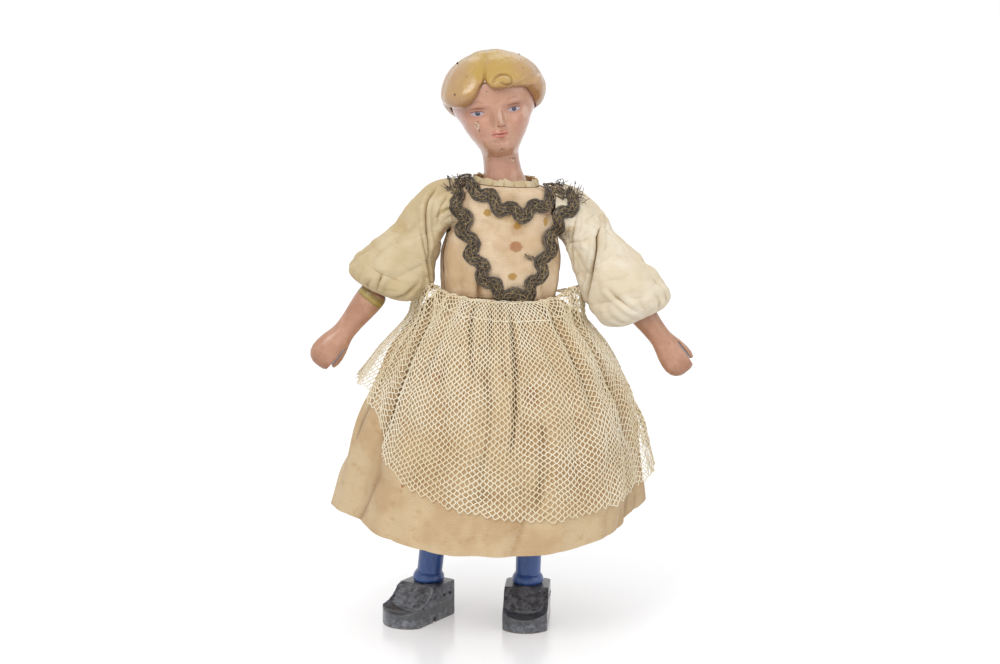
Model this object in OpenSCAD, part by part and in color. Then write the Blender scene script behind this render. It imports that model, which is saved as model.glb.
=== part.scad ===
// Peg-jointed wooden doll in a muslin dress with a net apron.
// Millimetres, +Z up. The doll faces -Y, and left and right are the doll's own.

/* [Stance] */
// Lean of the whole figure to its left, in degrees
lean = 3.7; // [0:0.1:6]
// Middle of the stance, from the middle of the figure's width
stance_x = -8.2; // [-12:0.1:-6]
// Distance between the ankles
foot_spacing = 36; // [33:0.5:38]
// How far the right foot stands behind the left
right_foot_back = 7.5; // [0:0.5:9]
// Turn-out of the right shoe, in degrees
right_toe_out = 40; // [10:1:44]
// Turn-out of the left shoe, in degrees
left_toe_out = -11; // [-14:1:10]
// Angle of the right arm away from the side, in degrees
right_arm_angle = 35; // [32:1:44]
// Angle of the left arm away from the side, in degrees
left_arm_angle = 40; // [36:1:44]
// How far the left arm is swung forward, in degrees
left_arm_swing = 12; // [0:1:20]

/* [Trunk] */
// Height of the hip peg above the floor
hip_z = 102; // [98:0.5:106]
// Distance between the two hip tongues
hip_spacing = 30; // [28:0.5:31]
// Width of the trunk at the hips
hip_width = 39; // [38:0.5:41]
// Height of the waist above the hip peg
waist_rise = 20.5; // [19:0.5:22]
// Height of the shoulder axis above the hip peg
shoulder_rise = 51.5; // [50:0.5:53]
// Distance between the centres of the shoulder balls
shoulder_spacing = 43; // [42:0.5:45]
// Height of the trunk above the hip peg
trunk_rise = 60.5; // [59.5:0.5:62]
// Depth of the trunk at the chest
chest_depth = 21; // [19:0.5:22]

/* [Head] */
// Height from the neck's seat to the crown of the skull
head_height = 47; // [45:0.5:50]
// Width of the skull under the hair
head_width = 31; // [30:0.5:33]
// Depth of the skull from forehead to back
head_depth = 29; // [27:0.5:31]
// Tilt of the head to the doll's right, in degrees
head_tilt = 11; // [0:1:12]
// Turn of the head to the doll's left, in degrees
head_turn = 1; // [0:1:20]
// Thickness of the carved hair at the crown
hair_thickness = 2.7; // [2.2:0.1:3.2]
// Radius of the dowel that carries the head
neck_dowel_r = 4; // [3.5:0.1:4.2]
// Radius of a pin in the hair
hair_pin_r = 0.35; // [0.3:0.05:0.5]

/* [Arms] */
// Radius of the shoulder ball
ball_r = 6; // [5.6:0.1:6.4]
// Distance from the shoulder peg to the elbow peg
upper_arm_length = 34; // [32:0.5:37]
// Distance from the elbow peg to the fingertips
forearm_length = 40; // [38:0.5:43]
// Radius of the upper arm
upper_arm_r = 4.8; // [4.5:0.1:5]
// Radius of the forearm at the painted armband
forearm_r = 5.3; // [5:0.1:5.6]
// Width of the hand
hand_width = 12; // [11:0.2:13]
// Thickness of the hand
hand_thickness = 8; // [7.2:0.2:9]
// Width of the saw cut between thumb and fingers
hand_slot = 0.8; // [0.6:0.1:1.2]
// Depth of that saw cut from the fingertips
hand_slot_depth = 11; // [9:0.5:13]
// How far the thumb ends short of the fingertips
thumb_short = 3; // [2:0.5:5]

/* [Legs] */
// Distance from the hip peg to the knee peg
thigh_length = 44; // [42:0.5:46]
// Radius of the thigh
thigh_r = 5.6; // [5.4:0.1:6]
// Radius of the stockinged shin
shin_r = 4.7; // [4.4:0.1:5]
// Radius of the turned ring at the ankle
ankle_ring_r = 5.8; // [5.5:0.1:6.2]
// Height of that ring
ankle_ring_height = 3.8; // [3.4:0.1:4.6]

/* [Shoes] */
// Height of the shoe at the ankle
shoe_height = 13; // [12:0.5:14.5]
// Length of the shoe
shoe_length = 29; // [27:0.5:31]
// Width of the shoe
shoe_width = 16.5; // [15.5:0.5:18]
// Height of the toe at its front wall
toe_height = 6; // [5:0.5:7]
// Length of the flat platform round the ankle
platform_length = 13; // [12.5:0.5:14.5]
// Width of the groove across the sole
sole_groove = 1.3; // [1:0.1:2]
// Depth of the groove across the sole
sole_groove_depth = 2.7; // [2:0.1:3.2]

/* [Pegs] */
// Radius of the hip peg
hip_peg_r = 1.3; // [1.1:0.1:1.5]
// Radius of the knee pegs
knee_peg_r = 1.1; // [0.9:0.1:1.3]
// Radius of the elbow and shoulder pegs
arm_peg_r = 1; // [0.8:0.1:1.1]
// Radius of the pegs that lock the neck and shoulder dowels
lock_peg_r = 0.9; // [0.7:0.1:1]
// Radius of the shoulder dowels
shoulder_dowel_r = 2.5; // [2.2:0.1:2.7]
// Radius of the ankle dowels
ankle_dowel_r = 2.2; // [2:0.1:2.4]
// Radius of the brads that hold the ankle dowels
brad_r = 0.5; // [0.4:0.05:0.6]
// Thickness of the tongues at hip, knee, elbow and shoulder
tongue = 3; // [2.6:0.1:3.4]

/* [Dress] */
// How much deeper the bodice is at its fullest than the trunk
bodice_fullness = 12; // [11:0.5:15]
// Thickness of the muslin as modelled
cloth = 0.8; // [0.6:0.1:1]
// Height of the frill round the neck
frill_height = 2.6; // [2.2:0.2:5]
// Height of the skirt's hem above the floor, at the sides
hem_z = 45.5; // [40:0.5:50]
// How much lower the hem hangs at the front
hem_dip = 7.5; // [0:0.5:9]
// How far the skirt bellies out to the doll's left, at the hem
hem_shift = 1.5; // [0:0.1:3]
// The same, halfway down
skirt_sway = 2.4; // [0:0.1:4]
// Width of the skirt at the hem
hem_width = 112; // [106:1:118]
// Depth of the skirt at the hem
hem_depth = 108; // [102:1:114]
// Depth of the skirt's folds at the hem
fold_depth = 2.4; // [1.5:0.1:3.2]
// Distance of the net apron outside the skirt
apron_gap = 0.8; // [0.6:0.1:1.5]
// Thickness of the net as modelled
net = 0.5; // [0.4:0.1:0.8]
// How far the apron's free left side stands off the skirt
apron_flare = 4; // [2:0.5:6]
// How far its free right corner stands off
apron_flap = 9; // [4:0.5:10]
// Radius of a sleeve at its fullest
sleeve_r = 13.8; // [13:0.2:14.4]
// Radius of the sleeve's cuff
cuff_r = 6.8; // [6.6:0.1:7.4]
// Length of the right sleeve from the shoulder
right_sleeve_length = 37; // [35:0.5:42]
// Length of the left sleeve from the shoulder
left_sleeve_length = 48; // [42:0.5:52]
// Width of the gimp braid
braid_width = 5.6; // [5:0.2:6.4]
// Thickness of the gimp braid
braid_thickness = 0.9; // [0.7:0.1:1.2]

/* [Hidden] */
RIGHT = -1;
LEFT = 1;

// Overrun of a cut past the face that it opens
over = 1;
// Radial clearance of a peg or dowel in its hole
peg_fit = 0.05;
// Clearance of a tongue on each side in its slot
tongue_fit = 0.15;
// Clearance between the rounded end of one limb and the shoulder of the next
end_fit = 0.35;
// Clearance under a face that turns on another
seat_fit = 0.1;
// Clearance between two layers of cloth, or of braid over cloth
cloth_fit = 0.3;
// Clearance of the carved hair over the skull
hair_fit = 0.35;

// Colours
bare_wood = [0.78, 0.6, 0.4];
flesh = [0.86, 0.63, 0.53];
blond = [0.85, 0.68, 0.36];
muslin = [0.88, 0.81, 0.67];
stocking_blue = [0.16, 0.3, 0.6];
shoe_black = [0.13, 0.13, 0.15];
gimp = [0.28, 0.24, 0.2];
netting = [0.93, 0.88, 0.76];
iron = [0.2, 0.18, 0.18];

// Facets
peg_fn = 24;
turned_fn = 48;
ball_fn = 40;
skirt_columns = 68;
apron_columns = 44;
apron_rows = 7;
bodice_columns = 36;
sleeve_columns = 26;
frill_columns = 48;
head_columns = 48;
hair_columns = 44;
hair_rows = 12;
forearm_columns = 24;
braid_across = 4;

// Heights in the leaning figure's own frame, above the floor
shoulder_z = hip_z + shoulder_rise;
waist_z = hip_z + waist_rise;
// The bodice is as wide as the shoulders
bust_width = shoulder_spacing;
bust_depth = chest_depth + bodice_fullness;
trunk_top_z = hip_z + trunk_rise;
neck_seat_drop = 2.5;
neck_z = trunk_top_z - neck_seat_drop;

// Rounded ends that carry the slots, round their pegs
hip_end_r = 6.5;
knee_end_r = 5;
elbow_end_r = 5;
// Turned shoulder of the limb below each joint, from its peg
hip_shoulder = hip_end_r + end_fit;
knee_shoulder = knee_end_r + end_fit;
elbow_shoulder = elbow_end_r + end_fit;
arm_shoulder = ball_r + end_fit;
// Half the width of each tongue beside its peg
hip_tongue_r = 4.6;
knee_tongue_r = 3.9;
elbow_tongue_r = 3.8;
arm_tongue_r = 2.6;
// Room between a tongue's round end and the bottom of its slot
slot_room = 0.4;
slot = tongue + 2 * tongue_fit;

// Dowels, and the grooves that their lock pegs or brads run in
groove_share = 0.62;
groove_side_fit = 0.25;
neck_dowel_length = 13;
neck_groove_depth = 8;
neck_seat_r = 9.3;
shoulder_dowel_end_x = 6.7;
shoulder_groove_x = 11;
ankle_dowel_length = 8.5;
ankle_groove_depth = 4.2;
// Length of a through peg, as a share of the width of the wood that it crosses
peg_length_share = 0.9;
cross_peg_share = 0.78;

/* Tables, as shares of the sizes that they follow */
// Trunk from the front, half width and height: hips, then chest as shares of the shoulders
trunk_hip_shares = [[0.84, -0.108], [0.97, -0.08], [1, -0.03], [1, 0.08], [0.93, 0.17]];
trunk_chest_shares = [[0.72, 0.27], [0.665, 0.38], [0.715, 0.55], [0.76, 0.72], [0.705, 0.85],
    [0.60, 0.93], [0.455, 1]];
// Trunk from the side, above the hips: depth, height
trunk_breast_shares = [[0.84, 0.24], [0.84, 0.36], [0.94, 0.52], [1, 0.68], [0.92, 0.84], [0.72, 1]];
trunk_back_shares = [[0.80, 0.22], [0.76, 0.34], [0.82, 0.52], [0.90, 0.70], [0.86, 0.84], [0.72, 1]];
hip_flat_share = 0.12;
shoulder_round_share = 0.69;
// Head and neck: height, half width, front, back
head_shares = [
    [0.00, 0.565, 0.590, 0.590], [0.05, 0.525, 0.565, 0.570], [0.10, 0.470, 0.535, 0.545],
    [0.16, 0.430, 0.515, 0.540], [0.235, 0.415, 0.520, 0.545], [0.275, 0.418, 0.560, 0.550],
    [0.298, 0.430, 0.700, 0.560], [0.325, 0.455, 0.830, 0.575], [0.355, 0.505, 0.880, 0.600],
    [0.39, 0.570, 0.895, 0.645], [0.42, 0.630, 0.900, 0.690], [0.45, 0.680, 0.905, 0.735],
    [0.485, 0.735, 0.920, 0.785], [0.51, 0.765, 0.925, 0.825], [0.54, 0.805, 0.925, 0.860],
    [0.58, 0.875, 0.930, 0.910], [0.61, 0.925, 0.935, 0.940], [0.65, 0.965, 0.945, 0.970],
    [0.70, 0.990, 0.960, 0.990], [0.76, 1.000, 0.960, 1.000], [0.83, 0.965, 0.920, 0.960],
    [0.89, 0.870, 0.830, 0.870], [0.94, 0.700, 0.670, 0.710], [0.975, 0.480, 0.460, 0.490],
    [0.995, 0.220, 0.210, 0.220]];
// Features of the face: height, place across, how far it stands out, spread across, spread in height
face_shares = [
    [0.538, 0.00, 0.090, 0.070, 0.020], [0.572, 0.00, 0.062, 0.055, 0.028],
    [0.61, 0.00, 0.035, 0.050, 0.035], [0.474, -0.02, 0.026, 0.150, 0.012],
    [0.445, -0.02, 0.022, 0.120, 0.012], [0.37, 0.00, 0.028, 0.170, 0.026],
    [0.632, 0.36, -0.036, 0.150, 0.030], [0.632, -0.42, -0.036, 0.150, 0.030],
    [0.52, 0.46, 0.024, 0.200, 0.045], [0.52, -0.46, 0.024, 0.200, 0.045]];
// Hairline: degrees from the front, height
hairline_shares = [
    [-180, 0.50], [-150, 0.51], [-120, 0.545], [-100, 0.60], [-80, 0.70], [-65, 0.69],
    [-50, 0.685], [-38, 0.71], [-28, 0.76], [-20, 0.84], [-15, 0.86], [-6, 0.81],
    [6, 0.80], [20, 0.80], [38, 0.785], [50, 0.72], [62, 0.65], [78, 0.60], [100, 0.57],
    [140, 0.52], [180, 0.50]];
// Thickness of the hair from the hairline to the crown
hair_roll_shares = [[0, 0.15], [0.04, 0.60], [0.10, 0.82], [0.2, 0.90], [0.35, 0.90],
    [0.55, 0.98], [0.8, 1.1], [1, 1.15]];
// Rolls and curls: degrees from the front, height, thickness added, spread round, spread in height
curl_shares = [
    [-52, 0.76, 0.60, 20, 0.07], [8, 0.855, 0.62, 9, 0.035], [-15, 0.89, -0.50, 5, 0.07],
    [52, 0.76, 0.42, 22, 0.08], [26, 0.90, -0.20, 7, 0.05], [96, 0.72, 0.20, 20, 0.09],
    [150, 0.60, 0.20, 20, 0.05], [-150, 0.60, 0.20, 20, 0.05]];
// Bodice: height, half width, front, back
bodice_shares = [
    [0.00, 0.95, 0.90, 0.86], [0.06, 0.97, 0.99, 0.92], [0.18, 0.995, 1.06, 0.97],
    [0.34, 1.00, 1.05, 0.97], [0.48, 0.96, 0.98, 0.93], [0.62, 0.91, 0.90, 0.87],
    [0.74, 0.89, 0.86, 0.84], [0.84, 0.915, 0.78, 0.77], [0.895, 0.90, 0.74, 0.72],
    [0.94, 0.84, 0.73, 0.70], [0.975, 0.72, 0.70, 0.68], [1.00, 0.57, 0.67, 0.65]];
// Neckline braid and front braid on the bodice: degrees from the front, height
neckline_shares = [[-52, 0.93], [-44, 0.91], [-33, 0.87], [-15, 0.81], [6, 0.79],
    [26, 0.82], [40, 0.88], [47, 0.915], [53, 0.93]];
front_braid_shares = [[-48, 0.795], [-48, 0.73], [-46, 0.64], [-42, 0.5], [-34, 0.36],
    [-22, 0.21], [-8, 0.10], [8, 0.075], [22, 0.18], [33, 0.32], [41, 0.46], [45, 0.62],
    [48, 0.73], [48.5, 0.785]];
// Skirt: height from waist to hem, share of the way from the waist's outline to the hem's
flare_shares = [[0, 0], [0.06, 0.15], [0.12, 0.27], [0.2, 0.41], [0.32, 0.56], [0.47, 0.70],
    [0.64, 0.82], [0.82, 0.915], [1, 1]];
// Main folds of the skirt: degrees from the front, depth, spread in degrees
fold_shares = [[-10, -1.1, 5], [4, -0.9, 5], [-3, 0.7, 5], [-22, 0.7, 7], [17, 0.7, 7],
    [-66, -1.2, 7], [64, -1.1, 7], [-44, 0.5, 8], [40, 0.6, 8], [-88, 0.9, 9], [88, 0.9, 9],
    [-118, -0.9, 9], [112, -0.9, 9], [-142, 0.7, 9], [138, 0.7, 9], [-165, -0.8, 8],
    [162, -0.7, 8]];
// Apron's lower edge: degrees from the front, how far down the skirt
apron_edge_shares = [[-112, 0.42], [-90, 0.44], [-75, 0.52], [-57, 0.70], [-27, 0.81],
    [2, 0.86], [30, 0.875], [60, 0.88], [80, 0.875], [95, 0.80], [108, 0.72]];
apron_start = -112;
apron_end = 108;
apron_top_share = 0.02;
// Where the free sides stand off: degrees from the front, spread in degrees
flare_middle = 92;
flare_spread = 22;
flap_spread = 18;
// Sleeve: place along it, radius. 0 to 1 goes round the shoulder and 1 to 2 down the arm
sleeve_shares = [[0, 0.57], [0.2, 0.575], [0.45, 0.60], [0.75, 0.655], [1, 0.72], [1.2, 0.82],
    [1.4, 0.92], [1.6, 1], [1.78, 1.0], [1.9, 0.89], [1.97, 0.69]];
// Forearm from its shoulder to the wrist: place, radius
forearm_shares = [[0, 0.80], [0.05, 0.92], [0.12, 0.98], [0.22, 1.00], [0.38, 0.965],
    [0.58, 0.89], [0.80, 0.80]];
// Hand from the wrist to the fingertips: place, width, thickness
hand_shares = [[0.00, 0.665, 0.95], [0.12, 0.67, 0.92], [0.26, 0.76, 0.93], [0.42, 0.90, 0.98],
    [0.58, 0.985, 1.00], [0.72, 0.995, 0.98], [0.84, 0.90, 0.90], [0.93, 0.70, 0.74],
    [0.985, 0.40, 0.45]];
wrist_share = 0.56;
hand_slot_share = 0.31;
// Thigh and shin: place along the turned length, radius
thigh_shares = [[0, 0.80], [0.05, 0.93], [0.14, 1.00], [0.45, 1.00], [0.75, 0.94], [1, 0.857]];
shin_shares = [[0, 0.80], [0.04, 0.93], [0.12, 1.00], [0.30, 1.02], [0.60, 1.00], [1, 0.98]];
// Ankle ring: height, how far it stands out
ankle_ring_shares = [[0, 0.3], [0.08, 0.75], [0.25, 1], [0.5, 0.95], [0.75, 0.6], [0.92, 0.15], [1, 0]];

// Sums and curves

function sum(v) = v * [for (x = v) 1];
function blend(a, b, t) = a + (b - a) * t;
function bell(x, spread) = exp(-x * x / (2 * spread * spread));
// Superellipse factor at an angle, squarer as the power rises
function squircle(a, power) =
    pow(pow(abs(cos(a)), power) + pow(abs(sin(a)), power), -1 / power);
// Degrees from the front of the doll, -180 to 180, positive towards its left
function from_front(a) = (a + 90 + 540) % 360 - 180;
// Smooth curve through hand-chosen points
function curve_at(p, q, r, s, t) = 0.5 * (2 * q + (r - p) * t
    + (2 * p - 5 * q + 4 * r - s) * t * t + (3 * q - p - 3 * r + s) * t * t * t);
function curve(v, steps) = let (last = len(v) - 1) concat(
    [for (i = [0:last - 1], k = [0:steps - 1])
        curve_at(v[max(i - 1, 0)], v[i], v[i + 1], v[min(i + 2, last)], k / steps)],
    [v[last]]);
function middle_of(ring) = [for (k = [0:2]) sum([for (p = ring) p[k]]) / len(ring)];
function reversed(v) = [for (i = [len(v) - 1:-1:0]) v[i]];

// Rings run counterclockwise round the way that they are stacked

// Faces between neighbouring rings of n points, the first ring starting at point start
function band_faces(start, n, bands) = [for (i = [0:bands - 1], j = [0:n - 1])
    let (a = start + i * n + j, b = start + i * n + (j + 1) % n)
    each [[a, a + n, b + n], [a, b + n, b]]];
function fan_faces(middle, start, n) = [for (j = [0:n - 1]) [middle, start + j, start + (j + 1) % n]];
function flipped(faces) = [for (f = faces) [f[2], f[1], f[0]]];

// Solid inside a stack of rings
module skin(rings) {
    n = len(rings[0]);
    m = len(rings);
    polyhedron(
        concat([for (r = rings) each r], [middle_of(rings[0]), middle_of(rings[m - 1])]),
        concat(band_faces(0, n, m - 1), fan_faces(m * n, 0, n),
            flipped(fan_faces(m * n + 1, (m - 1) * n, n))), convexity = 6);
}

// Tube wall: outer rings one way, inner rings back, closed all round
module wall(outer, inner) {
    n = len(outer[0]);
    m = len(outer) + len(inner);
    closing = [for (j = [0:n - 1])
        let (a = (m - 1) * n + j, b = (m - 1) * n + (j + 1) % n)
        each [[a, j, (j + 1) % n], [a, (j + 1) % n, b]]];
    polyhedron([for (r = concat(outer, reversed(inner))) each r],
        concat(band_faces(0, n, m - 1), closing), convexity = 8);
}

// Cap with a wall: outer and inner rings from the rim up, each closed by a middle point
module cap(outer, inner) {
    n = len(outer[0]);
    m = len(outer);
    inside = m * n;
    outer_top = 2 * m * n;
    rim = [for (j = [0:n - 1]) let (k = (j + 1) % n)
        each [[j, k, inside + k], [j, inside + k, inside + j]]];
    polyhedron(
        concat([for (r = outer) each r], [for (r = inner) each r],
            [middle_of(outer[m - 1]), middle_of(inner[m - 1])]),
        concat(band_faces(0, n, m - 1), flipped(fan_faces(outer_top, (m - 1) * n, n)),
            flipped(band_faces(inside, n, m - 1)),
            fan_faces(outer_top + 1, inside + (m - 1) * n, n), rim), convexity = 8);
}

// Open sheet with a thickness: columns of points from left to right, each from foot to top
module sheet(front, back) {
    m = len(front);
    n = len(front[0]);
    count = m * n;
    faces = [for (i = [0:m - 2], j = [0:n - 2]) let (a = i * n + j, b = a + n)
        each [[a, a + 1, b + 1], [a, b + 1, b]]];
    foot = [for (i = [0:m - 2]) let (a = i * n, b = a + n)
        each [[a, b, b + count], [a, b + count, a + count]]];
    top = [for (i = [0:m - 2]) let (a = i * n + n - 1, b = a + n)
        each [[a, b + count, b], [a, a + count, b + count]]];
    start = [for (j = [0:n - 2]) each [[j, j + count, j + 1 + count], [j, j + 1 + count, j + 1]]];
    end = [for (j = [0:n - 2]) let (a = (m - 1) * n + j)
        each [[a, a + 1 + count, a + count], [a, a + 1, a + 1 + count]]];
    polyhedron(concat([for (c = front) each c], [for (c = back) each c]),
        concat(faces, [for (f = flipped(faces)) [for (k = f) k + count]], foot, top, start, end),
        convexity = 8);
}

// Frames

module figure_frame() {
    translate([stance_x, 0, shoe_height]) rotate([0, lean, 0])
        translate([0, 0, -shoe_height]) children();
}
function figure_point(x, y, z) = [
    stance_x + x * cos(lean) + (z - shoe_height) * sin(lean), y,
    shoe_height - x * sin(lean) + (z - shoe_height) * cos(lean)];

module head_frame() {
    figure_frame() translate([0, 0, neck_z]) rotate([0, -head_tilt, 0])
        rotate([0, 0, head_turn]) children();
}
function arm_angle(side) = side == RIGHT ? right_arm_angle : left_arm_angle;
function arm_swing(side) = side == RIGHT ? 0 : left_arm_swing;
// Turns with the shoulder ball
module shoulder_frame(side) {
    figure_frame() translate([side * shoulder_spacing / 2, 0, shoulder_z])
        rotate([-arm_swing(side), 0, 0]) children();
}
// The arm lies along -Z of this frame
module arm_frame(side) {
    shoulder_frame(side) rotate([0, -side * arm_angle(side), 0]) children();
}
module elbow_frame(side) {
    arm_frame(side) translate([0, 0, -upper_arm_length]) children();
}

// Both shoes stand flat, so the leaning figure has one leg shorter than the other
function ankle_z(side) = shoe_height + seat_fit + side * foot_spacing / 2 * tan(lean);
function foot_x(side) = stance_x + side * foot_spacing / 2 / cos(lean);
function foot_back(side) = side == RIGHT ? right_foot_back : 0;
function leg_swing(side) = atan(foot_back(side) / (hip_z - ankle_z(side)));
function leg_reach(side) = (hip_z - ankle_z(side)) / cos(leg_swing(side));
function leg_splay(side) = atan((foot_spacing - hip_spacing) / 2 / leg_reach(side));
function leg_length(side) = leg_reach(side) / cos(leg_splay(side));
function shin_length(side) = leg_length(side) - thigh_length;
function toe_out(side) = side == RIGHT ? right_toe_out : left_toe_out;

module hip_frame(side) {
    figure_frame() translate([side * hip_spacing / 2, 0, hip_z])
        rotate([leg_swing(side), 0, 0]) children();
}
// The leg lies along -Z of this frame
module leg_frame(side) {
    hip_frame(side) rotate([0, -side * leg_splay(side), 0]) children();
}
module knee_frame(side) {
    leg_frame(side) translate([0, 0, -thigh_length]) children();
}
module ankle_frame(side) {
    translate([foot_x(side), foot_back(side), shoe_height + seat_fit]) children();
}
module shoe_frame(side) {
    translate([foot_x(side), foot_back(side), 0]) rotate([0, 0, side * toe_out(side)]) children();
}

// Pegs, tongues and dowels

module peg(r, length) {
    cylinder(r = r, h = length, $fn = peg_fn);
}
module hole(r, length) {
    cylinder(r = r + peg_fit, h = length, $fn = peg_fn);
}
// A peg or hole across X or Y, centred
module across_x(length) {
    rotate([0, 90, 0]) translate([0, 0, -length / 2]) children();
}
module across_y(length) {
    rotate([90, 0, 0]) translate([0, 0, -length / 2]) children();
}
// Block centred on X and Y, standing on z = 0
module slab(thickness, depth, height) {
    translate([-thickness / 2, -depth / 2, 0]) cube([thickness, depth, height]);
}
// Tongue in the YZ plane, round above its peg and running down to the limb
module tongue_plate(end_r, length) {
    across_x(tongue) cylinder(r = end_r, h = tongue, $fn = turned_fn);
    translate([0, 0, -length]) slab(tongue, 2 * end_r, length);
}
// Slot for such a tongue, open below, in front and behind
module tongue_slot(tongue_r, end_r) {
    reach = tongue_r + slot_room;
    translate([0, 0, -end_r - over]) slab(slot, 4 * end_r, end_r + over + reach);
}
// Turned dowel along -Z with a groove for its lock
module grooved_dowel(r, length, groove_depth, lock_r) {
    half_groove = lock_r + groove_side_fit;
    rotate_extrude($fn = turned_fn) polygon([
        [0, over], [r, over], [r, half_groove - groove_depth],
        [r * groove_share, half_groove - groove_depth],
        [r * groove_share, -half_groove - groove_depth],
        [r, -half_groove - groove_depth], [r, -length], [0, -length]]);
}
// Distance from a dowel's axis to the axis of the peg that runs in its groove
function lock_offset(dowel_r, lock_r) = dowel_r * groove_share + lock_r + peg_fit;

// Trunk

module trunk_front_view() {
    half = curve(concat(
        [for (p = trunk_hip_shares) [p[0] * hip_width / 2, p[1] * trunk_rise]],
        [for (p = trunk_chest_shares) [p[0] * shoulder_spacing / 2, p[1] * trunk_rise]]), 4);
    rotate([90, 0, 0]) translate([0, 0, -chest_depth]) linear_extrude(2 * chest_depth)
        polygon(concat(half, reversed([for (p = half) [-p[0], p[1]]])));
}
module trunk_side_view() {
    breast = [for (p = curve(trunk_breast_shares, 4)) [-p[0] * chest_depth / 2, p[1] * trunk_rise]];
    back = [for (p = curve(trunk_back_shares, 4)) [p[0] * chest_depth / 2, p[1] * trunk_rise]];
    flat_z = hip_flat_share * trunk_rise;
    rotate([90, 0, 90]) translate([0, 0, -hip_width]) linear_extrude(2 * hip_width)
        polygon(concat(
            [for (a = [180:10:360]) [hip_end_r * cos(a), hip_end_r * sin(a)]],
            [[hip_end_r, flat_z]], back, reversed(breast), [[-hip_end_r, flat_z]]));
}
// Corners of the block rounded off all the way up
module trunk_plan() {
    translate([0, 0, -trunk_rise]) linear_extrude(3 * trunk_rise)
        polygon([for (a = [0:7.5:352.5]) let (k = squircle(a, 2.6))
            [hip_width / 2 * k * cos(a), chest_depth / 2 * k * sin(a)]]);
}

// Shoulders turned round, down to the chest
shoulder_round_r = 21.3;
module trunk_shoulders() {
    middle = shoulder_round_share * trunk_rise;
    translate([0, 0, middle]) sphere(r = shoulder_round_r, $fn = turned_fn);
    translate([0, 0, -trunk_rise])
        cylinder(r = hip_width, h = trunk_rise + middle, $fn = turned_fn);
}

module torso_block() color(bare_wood) figure_frame() difference() {
    translate([0, 0, hip_z]) intersection() {
        trunk_front_view();
        trunk_side_view();
        trunk_plan();
        trunk_shoulders();
    }
    for (side = [RIGHT, LEFT]) {
        translate([side * hip_spacing / 2, 0, hip_z]) tongue_slot(hip_tongue_r, hip_end_r);
        translate([side * shoulder_spacing / 2, 0, shoulder_z]) {
            sphere(r = ball_r + end_fit, $fn = ball_fn);
            rotate([0, -side * 90, 0]) hole(shoulder_dowel_r, shoulder_dowel_length + end_fit);
        }
    }
    shoulder_lock_places() hole(lock_peg_r, lock_peg_length);
    neck_lock_place() hole(lock_peg_r, lock_peg_length);
    translate([0, 0, neck_z]) rotate([0, -head_tilt, 0]) {
        translate([0, 0, -neck_dowel_length - end_fit])
            hole(neck_dowel_r, neck_dowel_length + trunk_rise);
        translate([0, 0, -seat_fit]) cylinder(r = neck_seat_r, h = trunk_rise, $fn = turned_fn);
    }
    translate([0, 0, hip_z]) across_x(hip_peg_length) hole(hip_peg_r, hip_peg_length);
}

shoulder_dowel_length = shoulder_spacing / 2 - shoulder_dowel_end_x;
lock_peg_length = chest_depth * cross_peg_share;
hip_peg_length = hip_width * peg_length_share;

module shoulder_lock_places() {
    for (side = [RIGHT, LEFT])
        translate([side * shoulder_groove_x, 0,
            shoulder_z - lock_offset(shoulder_dowel_r, lock_peg_r)])
            across_y(lock_peg_length) children();
}
module neck_lock_place() {
    translate([0, 0, neck_z]) rotate([0, -head_tilt, 0])
        translate([-lock_offset(neck_dowel_r, lock_peg_r), 0, -neck_groove_depth])
        across_y(lock_peg_length) children();
}
module shoulder_lock_pegs() color(bare_wood) figure_frame()
    shoulder_lock_places() peg(lock_peg_r, lock_peg_length);
module neck_lock_peg() color(bare_wood) figure_frame()
    neck_lock_place() peg(lock_peg_r, lock_peg_length);
module hip_peg() color(bare_wood) figure_frame() translate([0, 0, hip_z])
    across_x(hip_peg_length) peg(hip_peg_r, hip_peg_length);

// Head and hair

// Columns crowd together towards the face, where j runs from 0 to n
function face_angle(j, n) = let (s = 2 * j / n - 1) -90 + 180 * s * (0.42 + 0.58 * s * s);
function features(height, a) = let (across = sin(from_front(a)))
    cos(from_front(a)) <= 0 ? 0 : head_depth * sum([for (f = face_shares)
        f[2] * bell(height - f[0], f[4]) * bell(across - f[1], f[3])]);
function skull_at(height, column) = lookup(height, [for (row = head_shares) [row[0], row[column]]]);
// Outline of the skull at a height share, seen from above
function skull_point(height, a) = let (k = squircle(a, 2.15))
    [skull_at(height, 1) * head_width / 2 * k * cos(a),
     skull_at(height, sin(a) < 0 ? 2 : 3) * head_depth / 2 * k * sin(a)];
function head_point(height, a) = let (p = skull_point(height, a))
    [p[0], p[1] - features(height, a), height * head_height];

module head() color(flesh) head_frame() {
    difference() {
        skin([for (row = head_shares) [for (j = [0:head_columns - 1])
            head_point(row[0], face_angle(j, head_columns))]]);
        hair_pin_places() hole(hair_pin_r, hair_pin_length);
    }
    grooved_dowel(neck_dowel_r, neck_dowel_length, neck_groove_depth, lock_peg_r);
}

crown_share = head_shares[len(head_shares) - 1][0];
function hair_height(a, t) =
    blend(lookup(from_front(a), hairline_shares), crown_share, sin(90 * t));
function hair_lift(a, t) = let (f = from_front(a), height = hair_height(a, t))
    hair_thickness * (lookup(t, hair_roll_shares) + (t == 0 ? 0 : 1) * sum([for (c = curl_shares)
        c[2] * bell(f - c[0], c[3]) * bell(height - c[1], c[4])]));
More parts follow.
